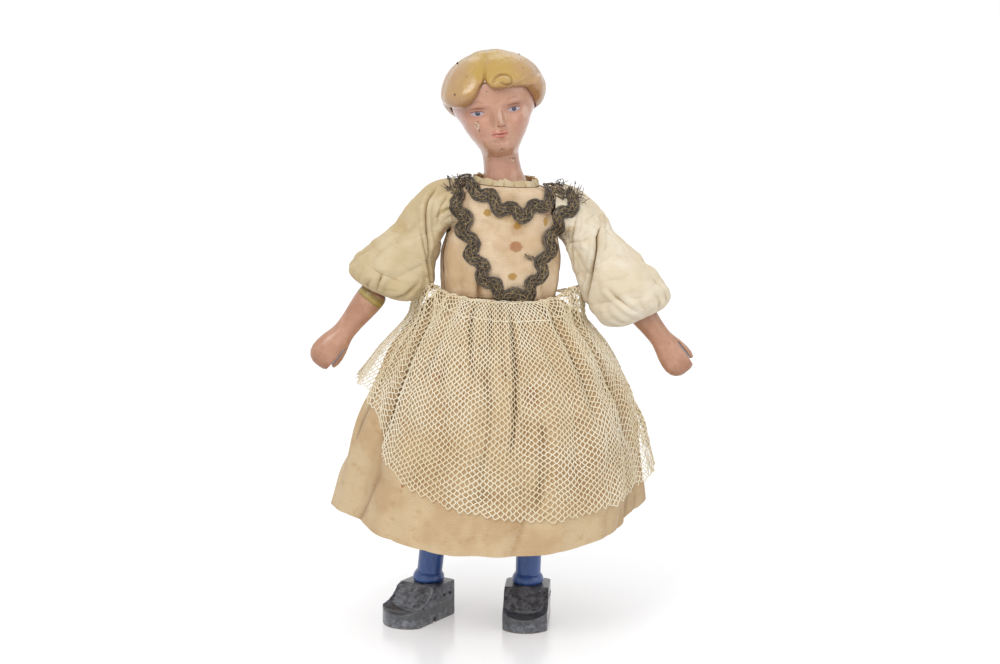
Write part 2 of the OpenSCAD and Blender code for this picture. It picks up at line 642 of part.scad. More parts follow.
// The hair stands out sideways at the hairline and upwards at the crown
function hair_point(a, t, lift) = let (
        height = hair_height(a, t),
        p = skull_point(height, a),
        out = p / norm(p),
        up = pow(t, 2.2),
        side = sqrt(1 - up * up))
    [p[0] + out[0] * lift * side, p[1] + out[1] * lift * side, height * head_height + lift * up];
module hair() color(blond) head_frame() difference() {
    angles = [for (j = [0:hair_columns - 1]) -90 + 360 * j / hair_columns];
    steps = [for (i = [0:hair_rows - 1]) pow(i / (hair_rows - 1), 1.35)];
    cap([for (t = steps) [for (a = angles) hair_point(a, t, hair_fit + hair_lift(a, t))]],
        [for (t = steps) [for (a = angles) hair_point(a, t, hair_fit)]]);
    hair_pin_places() hole(hair_pin_r, hair_pin_length);
}

hair_pin_length = 6.6;
hair_pin_start = 11.8;
hair_pin_angle = 38;
hair_pin_height_share = 0.7;
module hair_pin_places() {
    for (side = [RIGHT, LEFT])
        translate([0, 0, hair_pin_height_share * head_height])
            rotate([0, side * hair_pin_angle, 0]) translate([0, 0, hair_pin_start]) children();
}
module hair_pins() color(iron) head_frame() hair_pin_places() peg(hair_pin_r, hair_pin_length);

// Arms

module shoulder_ball(side) color(bare_wood) shoulder_frame(side) difference() {
    union() {
        sphere(r = ball_r, $fn = ball_fn);
        rotate([0, side * 90, 0]) grooved_dowel(shoulder_dowel_r, shoulder_dowel_length,
            shoulder_spacing / 2 - shoulder_groove_x, lock_peg_r);
    }
    // Slot for the arm's tongue, open outwards and downwards
    reach = arm_tongue_r + slot_room;
    translate([side * (ball_r + over - reach) / 2, 0, -ball_r - over])
        slab(ball_r + over + reach, slot, ball_r + over + reach);
    across_y(2 * ball_r) hole(arm_peg_r, 2 * ball_r);
}
shoulder_peg_length = 2 * ball_r * peg_length_share;
module shoulder_peg(side) color(bare_wood) shoulder_frame(side)
    across_y(shoulder_peg_length) peg(arm_peg_r, shoulder_peg_length);

// Rounded end of a limb round the peg below it
module round_end(end_r, limb_r) {
    intersection() {
        across_x(2 * limb_r) cylinder(r = end_r, h = 2 * limb_r, $fn = turned_fn);
        translate([0, 0, -end_r]) cylinder(r = limb_r, h = 2 * end_r, $fn = turned_fn);
    }
}

module upper_arm(side) color(bare_wood) arm_frame(side) difference() {
    union() {
        rotate([0, 0, 90]) tongue_plate(arm_tongue_r, arm_shoulder + over);
        translate([0, 0, -upper_arm_length]) {
            cylinder(r = upper_arm_r, h = upper_arm_length - arm_shoulder, $fn = turned_fn);
            round_end(elbow_end_r, upper_arm_r);
        }
    }
    across_y(2 * tongue) hole(arm_peg_r, 2 * tongue);
    translate([0, 0, -upper_arm_length]) {
        tongue_slot(elbow_tongue_r, elbow_end_r);
        across_x(elbow_peg_length) hole(arm_peg_r, elbow_peg_length);
    }
}
elbow_peg_length = 2 * upper_arm_r * peg_length_share;
module elbow_peg(side) color(bare_wood) elbow_frame(side)
    across_x(elbow_peg_length) peg(arm_peg_r, elbow_peg_length);

// Forearm tapering to the wrist, then the paddle of the hand
wrist_z = -wrist_share * forearm_length;
function oval(x_r, y_r, z, power) = [for (j = [0:forearm_columns - 1]) let (
        a = 360 * j / forearm_columns, k = squircle(a, power))
    [x_r * k * cos(a), y_r * k * sin(a), z]];
function forearm_z(place) = blend(-elbow_shoulder, wrist_z, place);
function hand_z(place) = blend(wrist_z, -forearm_length, place);
module forearm(side) color(flesh) elbow_frame(side) difference() {
    union() {
        skin(concat(
            reversed([for (row = hand_shares)
                oval(row[1] * hand_width / 2, row[2] * hand_thickness / 2, hand_z(row[0]), 2.2)]),
            reversed([for (row = forearm_shares)
                oval(row[1] * forearm_r, row[1] * forearm_r, forearm_z(row[0]), 2)])));
        tongue_plate(elbow_tongue_r, elbow_shoulder + over);
    }
    across_x(2 * tongue) hole(arm_peg_r, 2 * tongue);
    // Saw cut between thumb and fingers, and the thumb's shorter tip
    translate([hand_slot_share * hand_width, 0, -forearm_length - over]) {
        slab(hand_slot, 2 * hand_thickness, hand_slot_depth + over);
        translate([hand_width / 2, 0, 0]) slab(hand_width, 2 * hand_thickness, thumb_short + over);
    }
}

// Legs

function limb_profile(shares, r, top, length) = concat([[0, -top]],
    [for (row = curve(shares, 3)) [row[1] * r, blend(-top, -length, row[0])]], [[0, -length]]);

thigh_foot_r = thigh_r * thigh_shares[len(thigh_shares) - 1][1];
module thigh(side) color(bare_wood) difference() {
    union() {
        hip_frame(side) tongue_plate(hip_tongue_r, hip_shoulder + over);
        leg_frame(side) {
            rotate_extrude($fn = turned_fn)
                polygon(limb_profile(thigh_shares, thigh_r, hip_shoulder, thigh_length));
            translate([0, 0, -thigh_length]) round_end(knee_end_r, thigh_foot_r);
        }
    }
    hip_frame(side) across_x(2 * tongue) hole(hip_peg_r, 2 * tongue);
    knee_frame(side) {
        tongue_slot(knee_tongue_r, knee_end_r);
        across_x(knee_peg_length) hole(knee_peg_r, knee_peg_length);
    }
}
knee_peg_length = 2 * thigh_foot_r * peg_length_share;
module knee_peg(side) color(bare_wood) knee_frame(side)
    across_x(knee_peg_length) peg(knee_peg_r, knee_peg_length);

module shin(side) color(stocking_blue) {
    knee_frame(side) difference() {
        union() {
            tongue_plate(knee_tongue_r, knee_shoulder + over);
            rotate_extrude($fn = turned_fn) polygon(limb_profile(shin_shares, shin_r,
                knee_shoulder, shin_length(side) - ankle_ring_height / 2));
        }
        across_x(2 * tongue) hole(knee_peg_r, 2 * tongue);
    }
    ankle_frame(side) {
        rotate_extrude($fn = turned_fn) polygon(concat([[0, 0]],
            [for (row = curve(ankle_ring_shares, 2))
                [blend(shin_r, ankle_ring_r, row[1]), row[0] * ankle_ring_height]],
            [[0, ankle_ring_height]]));
        grooved_dowel(ankle_dowel_r, ankle_dowel_length, ankle_groove_depth, brad_r);
    }
}

// Shoes, with the ankle at the origin of their frame and the toe towards -Y

heel_share = 0.5;
heel_y = platform_length * heel_share;
instep_y = heel_y - platform_length;
toe_y = heel_y - shoe_length;
crest_share = 0.48;
crest_y = blend(instep_y, toe_y, crest_share);
crest_z = blend(toe_height, shoe_height, crest_share);
toe_r = shoe_width * 0.6;
heel_r = shoe_width * 0.14;
module sole_outline() {
    intersection() {
        union() {
            translate([-shoe_width / 2, toe_y + toe_r])
                square([shoe_width, shoe_length - toe_r - heel_r]);
            translate([heel_r - shoe_width / 2, heel_y - 2 * heel_r])
                square([shoe_width - 2 * heel_r, 2 * heel_r]);
            for (side = [RIGHT, LEFT])
                translate([side * (shoe_width / 2 - heel_r), heel_y - heel_r])
                    circle(r = heel_r, $fn = peg_fn);
            translate([0, toe_y + toe_r]) circle(r = toe_r, $fn = turned_fn);
        }
        translate([-shoe_width / 2, toe_y]) square([shoe_width, shoe_length]);
    }
}
edge_share = 0.96;
module shoe_side_view() {
    rotate([90, 0, 90]) translate([0, 0, -shoe_width]) linear_extrude(2 * shoe_width)
        polygon([[heel_y, 0], [heel_y, shoe_height * edge_share],
            [heel_y * edge_share, shoe_height], [instep_y, shoe_height],
            [crest_y, crest_z], [toe_y, toe_height * edge_share], [toe_y, 0]]);
}
dish_r = shoe_width * 0.85;
dish_depth_share = 0.1;
module shoe(side) color(shoe_black) difference() {
    shoe_frame(side) difference() {
        intersection() {
            linear_extrude(shoe_height) sole_outline();
            shoe_side_view();
        }
        // Shallow dish scooped out of the toe
        translate([0, blend(crest_y, toe_y, crest_share), toe_height + dish_r * (1 - dish_depth_share)])
            sphere(r = dish_r, $fn = turned_fn);
        // Groove across the sole
        translate([0, -shoe_width * heel_share, -over])
            slab(2 * shoe_width, sole_groove, sole_groove_depth + over);
        brad_places() hole(brad_r, brad_length);
    }
    ankle_frame(side) translate([0, 0, -ankle_dowel_length - end_fit])
        hole(ankle_dowel_r, ankle_dowel_length + end_fit + over);
}
// The brads go in from the shoe's inner side and run along both sides of the dowel's groove
brad_length = shoe_width * peg_length_share;
brad_proud = 0.2;
module brad_places() {
    for (s = [RIGHT, LEFT])
        translate([shoe_width / 2 + brad_proud, s * lock_offset(ankle_dowel_r, brad_r),
            shoe_height + seat_fit - ankle_groove_depth])
            rotate([0, -90, 0]) children();
}
module shoe_brads(side) color(iron) shoe_frame(side) brad_places() peg(brad_r, brad_length);

// Bodice and its trimmings

collar_rise = -0.4;
bodice_rise = trunk_top_z + collar_rise - waist_z;
gather = 0.35;
function bodice_at(height, column) =
    lookup(height, [for (row = bodice_shares) [row[0], row[column]]]);
// Point on the bodice, grow outside it
function bodice_point(height, a, grow) = let (
        full = gather * (1 - height) * cos(12 * a) + grow,
        k = squircle(a, 2.4))
    [(bodice_at(height, 1) * bust_width / 2 + full) * k * cos(a),
     (bodice_at(height, sin(a) < 0 ? 2 : 3) * bust_depth / 2 + full) * k * sin(a),
     waist_z + height * bodice_rise];
function bodice_ring(height, grow) = [for (j = [0:bodice_columns - 1])
    bodice_point(height, 360 * j / bodice_columns, grow)];

armhole_fit = 3.2;
armhole_depth = 4;
armhole_drop = 0.9;
armhole_r = ball_r + armhole_fit;
module bodice() color(muslin) figure_frame() difference() {
    wall([for (row = bodice_shares) bodice_ring(row[0], 0)],
        [for (row = bodice_shares) bodice_ring(row[0], -cloth)]);
    for (side = [RIGHT, LEFT])
        translate([side * (shoulder_spacing / 2 - armhole_depth), 0, shoulder_z - armhole_drop])
            rotate([0, side * 90, 0]) cylinder(r = armhole_r, h = shoulder_spacing, $fn = turned_fn);
}

// Gathered frill that stands on the bodice's neck edge
frill_flare = 1.4;
frill_wave = 0.8;
function frill_ring(t, grow) = [for (j = [0:frill_columns - 1]) let (
        a = 360 * j / frill_columns,
        p = bodice_point(1, a, grow + t * (frill_flare + frill_wave * cos(12 * a))))
    [p[0], p[1], p[2] + cloth_fit + t * frill_height * (1 + 0.08 * cos(12 * a + 90))]];
module neck_frill() color(muslin) figure_frame()
    wall([for (t = [0, 0.5, 1]) frill_ring(t, 0)], [for (t = [0, 0.5, 1]) frill_ring(t, -cloth)]);

// Braid laid along a path on the bodice
function braid_path(shares) = curve(shares, 3);
// Millimetres round and up for one step along the path, at its middle height
function braid_heading(path, i) = let (
        p = path[max(i - 1, 0)], q = path[min(i + 1, len(path) - 1)],
        d = [(q[0] - p[0]) / 180 * PI * bust_width / 2, (q[1] - p[1]) * bodice_rise])
    d / norm(d);
function braid_column(path, i, grow) = let (d = braid_heading(path, i)) [
    for (j = [0:braid_across]) let (
        off = (j / braid_across - 0.5) * braid_width,
        f = path[i][0] - off * d[1] * 180 / PI / (bust_width / 2),
        height = path[i][1] + off * d[0] / bodice_rise)
    bodice_point(height, f - 90, grow)];
module braid(shares) {
    path = braid_path(shares);
    sheet([for (i = [0:len(path) - 1]) braid_column(path, i, cloth_fit + braid_thickness)],
        [for (i = [0:len(path) - 1]) braid_column(path, i, cloth_fit)]);
}
module neckline_braid() color(gimp) figure_frame() braid(neckline_shares);
module front_braid() color(gimp) figure_frame() braid(front_braid_shares);

// Skirt and apron hang straight down from the leaning waist

hem_x = stance_x + (hem_z - shoe_height) * sin(lean);
function folds(f) = fold_depth * sum([for (w = fold_shares)
    w[1] * (bell(f - w[0], w[2]) + bell(f - w[0] + 360, w[2]) + bell(f - w[0] - 360, w[2]))]);
// Point of the skirt at a share of its height below the waist, grow outside it
function skirt_point(t, a, grow) = let (
        f = from_front(a),
        waist = bodice_point(0, a, grow),
        top = figure_point(waist[0], waist[1], waist_z - cloth_fit),
        fold = folds(f) + grow,
        hem = [hem_x + hem_shift + (hem_width / 2 + fold) * cos(a), (hem_depth / 2 + fold) * sin(a)],
        s = lookup(t, flare_shares),
        low_z = hem_z - hem_dip * pow(max(cos(f), 0), 2))
    [blend(top[0], hem[0], s) + skirt_sway * sin(180 * t), blend(top[1], hem[1], s),
     blend(top[2], low_z, t)];
function skirt_ring(t, grow) = [for (j = [0:skirt_columns - 1])
    skirt_point(t, 360 * j / skirt_columns, grow)];
module skirt() color(muslin)
    wall(reversed([for (row = flare_shares) skirt_ring(row[0], 0)]),
        reversed([for (row = flare_shares) skirt_ring(row[0], -cloth)]));

function apron_point(f, u, grow) = let (
        t = blend(apron_top_share, lookup(f, apron_edge_shares), u),
        off = u * u * (apron_flare * bell(f - flare_middle, flare_spread)
            + apron_flap * bell(f - apron_start, flap_spread)))
    skirt_point(t, f - 90, apron_gap + off + grow);
function apron_column(i, grow) = let (f = blend(apron_start, apron_end, i / apron_columns))
    [for (j = [apron_rows:-1:0]) apron_point(f, j / apron_rows, grow)];
module net_apron() color(netting)
    sheet([for (i = [0:apron_columns]) apron_column(i, net)],
        [for (i = [0:apron_columns]) apron_column(i, 0)]);

// Puffed sleeve: leaves the armhole square to it, bends round the shoulder and follows the arm

sleeve_inset = 3;
sleeve_bend = 3.5;
sleeve_reach = 14;
sleeve_gather = 0.5;
sleeve_droop = 1.2;
// Share by which the armpit side is pressed flat against the bodice
sleeve_press_share = 0.26;
function sleeve_length(side) = side == RIGHT ? right_sleeve_length : left_sleeve_length;
function arm_way(side) = [sin(arm_angle(side)), -cos(arm_angle(side))];
// Middle of the sleeve and the way it heads, outwards and up, seen from the shoulder
function sleeve_middle(side, u) = let (way = arm_way(side), v = min(u, 1))
    [-sleeve_inset, 0] * (1 - v) * (1 - v) + [sleeve_bend, 0] * 2 * v * (1 - v)
    + way * sleeve_reach * v * v
    + way * max(u - 1, 0) * (sleeve_length(side) - sleeve_reach)
    + [0, -sleeve_droop] * bell(u - 1.6, 0.25);
function sleeve_way(side, u) = let (way = arm_way(side), v = min(u, 1),
        d = ([sleeve_bend, 0] + [sleeve_inset, 0]) * (1 - v)
            + (way * sleeve_reach - [sleeve_bend, 0]) * v)
    d / norm(d);
function sleeve_ring(side, u, r, grow) = let (
        c = sleeve_middle(side, u), way = sleeve_way(side, u),
        wave = sleeve_gather * sin(90 * min(u, 2 - u * 0.5)))
    [for (j = [0:sleeve_columns - 1]) let (
            a = 360 * j / sleeve_columns,
            press = 1 - sleeve_press_share * bell(u - 0.8, 0.4) * pow(max(-sin(a), 0), 1.5),
            full = r * press + grow + wave * cos(7 * a) * (u < 1.95 ? 1 : 0))
        [c[0] - way[1] * full * sin(a), full * cos(a), c[1] + way[0] * full * sin(a)]];
function sleeve_rings(side, grow) = concat(
    [for (row = sleeve_shares) sleeve_ring(side, row[0], row[1] * sleeve_r, grow)],
    [sleeve_ring(side, 2, cuff_r, grow)]);
module sleeve(side) color(muslin) shoulder_frame(side) {
    if (side == RIGHT) mirror([1, 0, 0]) wall(sleeve_rings(side, 0), sleeve_rings(side, -cloth));
    else wall(sleeve_rings(side, 0), sleeve_rings(side, -cloth));
}

torso_block();
neck_lock_peg();
shoulder_lock_pegs();
hip_peg();
bodice();
neck_frill();
neckline_braid();
front_braid();
skirt();
net_apron();
head();
hair();
hair_pins();
shoulder_ball(RIGHT);  // right_shoulder_ball
shoulder_peg(RIGHT);  // right_shoulder_peg
upper_arm(RIGHT);  // right_upper_arm
elbow_peg(RIGHT);  // right_elbow_peg
forearm(RIGHT);  // right_forearm
sleeve(RIGHT);  // right_sleeve
shoulder_ball(LEFT);  // left_shoulder_ball
shoulder_peg(LEFT);  // left_shoulder_peg
upper_arm(LEFT);  // left_upper_arm
elbow_peg(LEFT);  // left_elbow_peg
forearm(LEFT);  // left_forearm
sleeve(LEFT);  // left_sleeve
thigh(RIGHT);  // right_thigh
knee_peg(RIGHT);  // right_knee_peg
shin(RIGHT);  // right_shin
shoe(RIGHT);  // right_shoe
shoe_brads(RIGHT);  // right_shoe_brads
thigh(LEFT);  // left_thigh
knee_peg(LEFT);  // left_knee_peg
shin(LEFT);  // left_shin
shoe(LEFT);  // left_shoe
shoe_brads(LEFT);  // left_shoe_brads
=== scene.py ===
"""Visual model of a peg-jointed wooden doll in a muslin dress with a net apron."""

import math

import bmesh
import bpy
import numpy as np
from mathutils import Matrix, Vector


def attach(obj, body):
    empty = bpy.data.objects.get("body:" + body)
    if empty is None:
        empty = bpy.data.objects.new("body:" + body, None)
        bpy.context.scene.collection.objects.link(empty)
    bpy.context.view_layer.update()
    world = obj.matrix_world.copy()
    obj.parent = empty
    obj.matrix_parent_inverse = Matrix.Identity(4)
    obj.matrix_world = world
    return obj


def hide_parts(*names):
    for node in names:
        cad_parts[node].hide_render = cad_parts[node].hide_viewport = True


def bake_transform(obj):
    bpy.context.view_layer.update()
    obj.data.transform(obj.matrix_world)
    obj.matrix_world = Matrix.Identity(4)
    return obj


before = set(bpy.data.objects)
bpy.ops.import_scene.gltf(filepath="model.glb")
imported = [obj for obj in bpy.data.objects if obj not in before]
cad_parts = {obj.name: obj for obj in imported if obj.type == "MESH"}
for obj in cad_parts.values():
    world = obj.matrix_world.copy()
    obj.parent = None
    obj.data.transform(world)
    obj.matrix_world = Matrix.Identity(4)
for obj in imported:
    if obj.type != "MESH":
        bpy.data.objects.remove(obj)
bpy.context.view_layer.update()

MM = 0.001
RIGHT, LEFT = -1, 1
SIDES = {RIGHT: "right", LEFT: "left"}

# Sizes of the doll, in millimetres and degrees, most of them as in the part's source
LEAN, STANCE_X, SHOE_HEIGHT = 3.7, -8.2, 13.0
HIP_Z, FOOT_SPACING = 102.0, 36.0
SHOULDER_SPACING, SHOULDER_Z, WAIST_Z, NECK_Z = 43.0, 153.5, 122.5, 160.0
ARM_ANGLE = {RIGHT: 35.0, LEFT: 40.0}
ARM_SWING = {RIGHT: 0.0, LEFT: 12.0}
UPPER_ARM = 34.0
HEAD_HEIGHT, HEAD_WIDTH, HEAD_DEPTH, HEAD_TILT, HEAD_TURN = 47.0, 31.0, 29.0, 11.0, 1.0
HAIR_THICKNESS, HAIR_FIT = 2.7, 0.35
CHEST_WIDTH, CHEST_DEPTH, BODICE_RISE, CLOTH_FIT = 43.0, 33.0, 39.6, 0.3
HEM_Z, HEM_DIP, HEM_SHIFT, SKIRT_SWAY = 45.5, 7.5, 1.5, 2.4
HEM_WIDTH, HEM_DEPTH, FOLD_DEPTH = 112.0, 108.0, 2.4
APRON_START, APRON_END, APRON_GAP = -112.0, 108.0, 0.8
APRON_FLARE, APRON_FLAP, WAIST_PUFF = 4.0, 9.0, 3.0
SLEEVE_R = 13.8
SLEEVE_LENGTH = {RIGHT: 38.6, LEFT: 48.0}
ARMHOLE_R, ARMHOLE_X, ARMHOLE_Z = 9.2, 17.5, 152.6
FOOT_BACK, TOE_OUT = {RIGHT: 7.5, LEFT: 0.0}, {RIGHT: 40.0, LEFT: -11.0}

# Head: share of its height, then of its width and of its depth in front and behind
HEAD = [
    [0.00, 0.565, 0.590, 0.590], [0.05, 0.525, 0.565, 0.570], [0.10, 0.470, 0.535, 0.545],
    [0.16, 0.430, 0.515, 0.540], [0.235, 0.415, 0.520, 0.545], [0.275, 0.418, 0.560, 0.550],
    [0.298, 0.430, 0.700, 0.560], [0.325, 0.455, 0.830, 0.575], [0.355, 0.505, 0.880, 0.600],
    [0.39, 0.570, 0.895, 0.645], [0.42, 0.630, 0.900, 0.690], [0.45, 0.680, 0.905, 0.735],
    [0.485, 0.735, 0.920, 0.785], [0.51, 0.765, 0.925, 0.825], [0.54, 0.805, 0.925, 0.860],
    [0.58, 0.875, 0.930, 0.910], [0.61, 0.925, 0.935, 0.940], [0.65, 0.965, 0.945, 0.970],
    [0.70, 0.990, 0.960, 0.990], [0.76, 1.000, 0.960, 1.000], [0.83, 0.965, 0.920, 0.960],
    [0.89, 0.870, 0.830, 0.870], [0.94, 0.700, 0.670, 0.710], [0.975, 0.480, 0.460, 0.490],
    [0.995, 0.220, 0.210, 0.220]]
# Carved face: height, place across, how far it stands out, spread across, above and below
FACE = [
    [0.538, 0.00, 0.088, 0.062, 0.022, 0.012], [0.572, 0.00, 0.060, 0.050, 0.028, 0.028],
    [0.61, 0.00, 0.036, 0.046, 0.035, 0.035], [0.534, 0.085, 0.030, 0.030, 0.014, 0.008],
    [0.534, -0.085, 0.030, 0.030, 0.014, 0.008],
    [0.474, -0.05, 0.030, 0.120, 0.010, 0.009], [0.447, -0.05, 0.030, 0.090, 0.009, 0.011],
    [0.4605, -0.05, -0.020, 0.130, 0.003, 0.003], [0.50, -0.02, -0.006, 0.018, 0.014, 0.014],
    [0.425, -0.03, -0.012, 0.100, 0.010, 0.010],
    [0.37, 0.00, 0.028, 0.160, 0.026, 0.024],
    [0.640, 0.36, -0.040, 0.150, 0.024, 0.034], [0.640, -0.48, -0.040, 0.150, 0.024, 0.034],
    [0.630, 0.36, 0.020, 0.105, 0.012, 0.014], [0.630, -0.50, 0.020, 0.105, 0.012, 0.014],
    [0.686, 0.34, 0.012, 0.170, 0.014, 0.012], [0.686, -0.44, 0.012, 0.170, 0.014, 0.012],
    [0.53, 0.44, 0.024, 0.180, 0.040, 0.050], [0.53, -0.50, 0.024, 0.180, 0.040, 0.050]]
# Hairline: degrees from the front, share of the head's height
HAIRLINE = [
    [-180, 0.50], [-150, 0.51], [-124, 0.555], [-106, 0.63], [-80, 0.70], [-65, 0.69],
    [-50, 0.685], [-38, 0.71], [-28, 0.76], [-20, 0.84], [-15, 0.86], [-6, 0.81],
    [6, 0.80], [20, 0.80], [38, 0.785], [50, 0.72], [62, 0.65], [78, 0.60], [100, 0.57],
    [140, 0.52], [180, 0.50]]
# Thickness of the hair from its edge to the crown
HAIR_ROLL = [[0, 0.15], [0.04, 0.60], [0.10, 0.82], [0.2, 0.90], [0.35, 0.90],
             [0.55, 0.98], [0.8, 1.1], [1, 1.15]]
# Curls: degrees from the front, height, how far out, spread round and up
CURLS = [
    [-52, 0.76, 0.60, 20, 0.07], [8, 0.855, 0.62, 9, 0.035], [-15, 0.89, -0.50, 5, 0.07],
    [52, 0.76, 0.42, 22, 0.08], [26, 0.90, -0.20, 7, 0.05], [96, 0.72, 0.20, 20, 0.09],
    [150, 0.60, 0.20, 20, 0.05], [-150, 0.60, 0.20, 20, 0.05]]
# Bodice: share of its height, then of its width and of its depth in front and behind
BODICE = [
    [0.00, 0.95, 0.90, 0.86], [0.06, 0.97, 0.99, 0.92], [0.18, 0.995, 1.06, 0.97],
    [0.34, 1.00, 1.05, 0.97], [0.48, 0.96, 0.98, 0.93], [0.62, 0.91, 0.90, 0.87],
    [0.74, 0.89, 0.86, 0.84], [0.84, 0.915, 0.78, 0.77], [0.895, 0.90, 0.74, 0.72],
    [0.94, 0.84, 0.73, 0.70], [0.975, 0.72, 0.70, 0.68], [1.00, 0.57, 0.67, 0.65]]
# Braids from the front, in the leaning figure's frame: place across, height
NECKLINE = [[-16.4, 161.0], [-14.0, 161.5], [-10.8, 160.4], [-6.8, 157.6], [-1.6, 154.7],
            [4, 153.3], [8.9, 154.7], [13.0, 157.3], [16.6, 159.7], [19.8, 161.2]]
FRONT_BRAID = [[-19.4, 160.2], [-18.4, 156.8], [-15.4, 150.0], [-13.6, 144.0], [-11.3, 138.1],
               [-8.4, 132.6], [-4.6, 127.6], [0.8, 124.6], [6.6, 124.0], [10.0, 128.0],
               [12.4, 134.0], [15.0, 140.6], [17.2, 147.2], [20.4, 153.0], [23.2, 157.0],
               [25.2, 159.4]]
# Skirt: share of its height, share of the way out from waist to hem
FLARE = [[0, 0], [0.06, 0.15], [0.12, 0.27], [0.2, 0.41], [0.32, 0.56], [0.47, 0.70],
         [0.64, 0.82], [0.82, 0.915], [1, 1]]
# Folds at the hem: degrees from the front, how far out, spread in degrees
FOLDS = [[-10, -1.1, 5], [4, -0.9, 5], [-3, 0.7, 5], [-22, 0.7, 7], [17, 0.7, 7],
         [-66, -1.2, 7], [64, -1.1, 7], [-44, 0.5, 8], [40, 0.6, 8], [-88, 0.9, 9],
         [88, 0.9, 9], [-118, -0.9, 9], [112, -0.9, 9], [-142, 0.7, 9], [138, 0.7, 9],
         [-165, -0.8, 8], [162, -0.7, 8]]
# Lower edge of the apron: degrees from the front, share of the skirt's height
APRON_EDGE = [[-112, 0.42], [-90, 0.44], [-75, 0.52], [-57, 0.70], [-27, 0.81],
              [2, 0.86], [30, 0.875], [60, 0.88], [80, 0.875], [95, 0.80], [108, 0.72]]
# Sleeve: place along it, where 2 is the cuff's end, and radius
SLEEVE = [[0, 0.64], [0.2, 0.645], [0.45, 0.65], [0.75, 0.67], [1, 0.72], [1.2, 0.82],
          [1.4, 0.92], [1.6, 1], [1.78, 1.0], [1.9, 0.89], [1.97, 0.69], [2, 0.5]]

# Pleats of the skirt, sharper than its folds: degrees from the front and share of the
# height, from top to bottom, then depth and width
PLEATS = [[-26, 0.02, -18, 0.36, 1.3, 0.8], [5, 0.04, -1, 0.62, 1.5, 0.8],
          [-12, 0.02, -9, 0.22, 0.8, 0.6], [18, 0.02, 24, 0.30, 0.9, 0.8],
          [-40, 0.03, -46, 0.34, 1.2, 1.2], [-58, 0.05, -64, 0.62, 1.8, 1.7],
          [36, 0.04, 42, 0.55, 1.5, 1.5], [58, 0.06, 66, 0.7, 1.6, 1.8],
          [-34, 0.30, -27, 0.62, 0.8, 1.4], [14, 0.45, 10, 0.85, 0.7, 1.6],
          [-80, 0.1, -86, 0.75, 1.2, 1.8], [84, 0.1, 90, 0.8, 1.2, 1.8],
          [-130, 0.05, -126, 0.6, 1.3, 1.6], [125, 0.05, 130, 0.6, 1.3, 1.6],
          [-165, 0.05, -168, 0.5, 1.2, 1.4], [170, 0.05, 166, 0.6, 1.2, 1.5]]
# Where the sleeve's two parts meet, as a place along it, and from where to where its cuff would
# bend, in mm down the arm, which is worked out but not used
SLEEVE_PARTED = 1.25
ELBOW_BEND = {RIGHT: (26, 37), LEFT: (28, 40)}
# Folds of each sleeve: place along and turn round it, from top to bottom, then depth and width
SLEEVE_FOLDS = {
    RIGHT: [[0.25, 2.10, 1.50, 4.20, 1.7, 0.75], [0.95, 3.05, 1.65, 4.45, 1.4, 0.7],
            [0.10, 2.60, 0.60, 3.30, 0.7, 0.7], [1.45, 1.85, 1.98, 1.65, 1.5, 0.8],
            [1.62, 2.75, 2.0, 2.95, 0.9, 0.9], [1.55, 3.75, 2.0, 3.55, 0.9, 1.0],
            [0.2, 0.4, 1.2, 0.0, 1.0, 1.2], [1.3, 5.6, 1.9, 5.8, 0.8, 1.0]],
    LEFT: [[0.90, 2.55, 1.55, 4.45, 2.2, 1.0], [0.92, 2.35, 1.30, 2.30, 1.0, 0.7],
           [0.55, 3.20, 1.25, 4.60, 1.1, 0.8], [1.62, 2.25, 1.98, 2.10, 1.2, 0.8],
           [1.50, 3.60, 2.0, 3.35, 0.8, 1.0], [1.30, 1.90, 1.75, 1.75, 0.7, 1.2],
           [0.2, 5.9, 1.2, 6.3, 1.0, 1.2], [1.3, 0.6, 1.9, 0.5, 0.8, 1.0]]}

# Roundness of the head and the bodice from above: 2 is an ellipse
HEAD_POWER, BODICE_POWER = 2.15, 2.4
# Thickness of the cloth, and the angle from which its edges are sharp
BODICE_WALL, FRILL_WALL, SKIRT_WALL, SLEEVE_WALL, SHARP = 0.55, 0.35, 0.6, 0.5, 55
# Size of the voxels that round off the carved pieces, in mm
VOXEL = 0.28
# Braids: places of their cords and gold threads from side to side, radii of cords, gold
# threads and frayed ends, then how far the scroll swings and its pitch
CORDS_AT, GOLD_AT = (-1.75, -0.87, 0, 0.87, 1.75), (-0.9, 0, 0.9)
CORD_R, GOLD_R, FRAY_R = 0.43, 0.085, 0.12
SCROLL_SWING, SCROLL_PITCH = 1.5, 8.6


# Sums and curves

def bell(x, spread):
    return np.exp(-x * x / (2 * spread * spread))


def ease(x, low, high):
    t = np.clip((x - low) / (high - low), 0, 1)
    return t * t * (3 - 2 * t)


def between(a, b, t):
    return a + (b - a) * t


def through(x, table, column=1):
    """Smooth curve through the rows of a table, without overshoot."""
    rows = np.array(table, float)
    xs, ys = rows[:, 0], rows[:, column]
    step = np.diff(xs)
    slope = np.diff(ys) / step
    tangent = np.zeros(len(xs))
    tangent[0], tangent[-1] = slope[0], slope[-1]
    before, after = slope[:-1], slope[1:]
    same = before * after > 0
    w, v = step[:-1] + 2 * step[1:], 2 * step[:-1] + step[1:]
    safe_before, safe_after = np.where(same, before, 1), np.where(same, after, 1)
    tangent[1:-1] = np.where(same, (w + v) / (v / safe_before + w / safe_after), 0)
    x = np.clip(x, xs[0], xs[-1])
    i = np.clip(np.searchsorted(xs, x, side="right") - 1, 0, len(step) - 1)
    t = (x - xs[i]) / step[i]
    return (ys[i] * (1 + 2 * t) * (1 - t) ** 2 + tangent[i] * step[i] * t * (1 - t) ** 2
            + ys[i + 1] * t * t * (3 - 2 * t) + tangent[i + 1] * step[i] * t * t * (t - 1))


def squircle(a, power):
    return (np.abs(np.cos(a)) ** power + np.abs(np.sin(a)) ** power) ** (-1 / power)


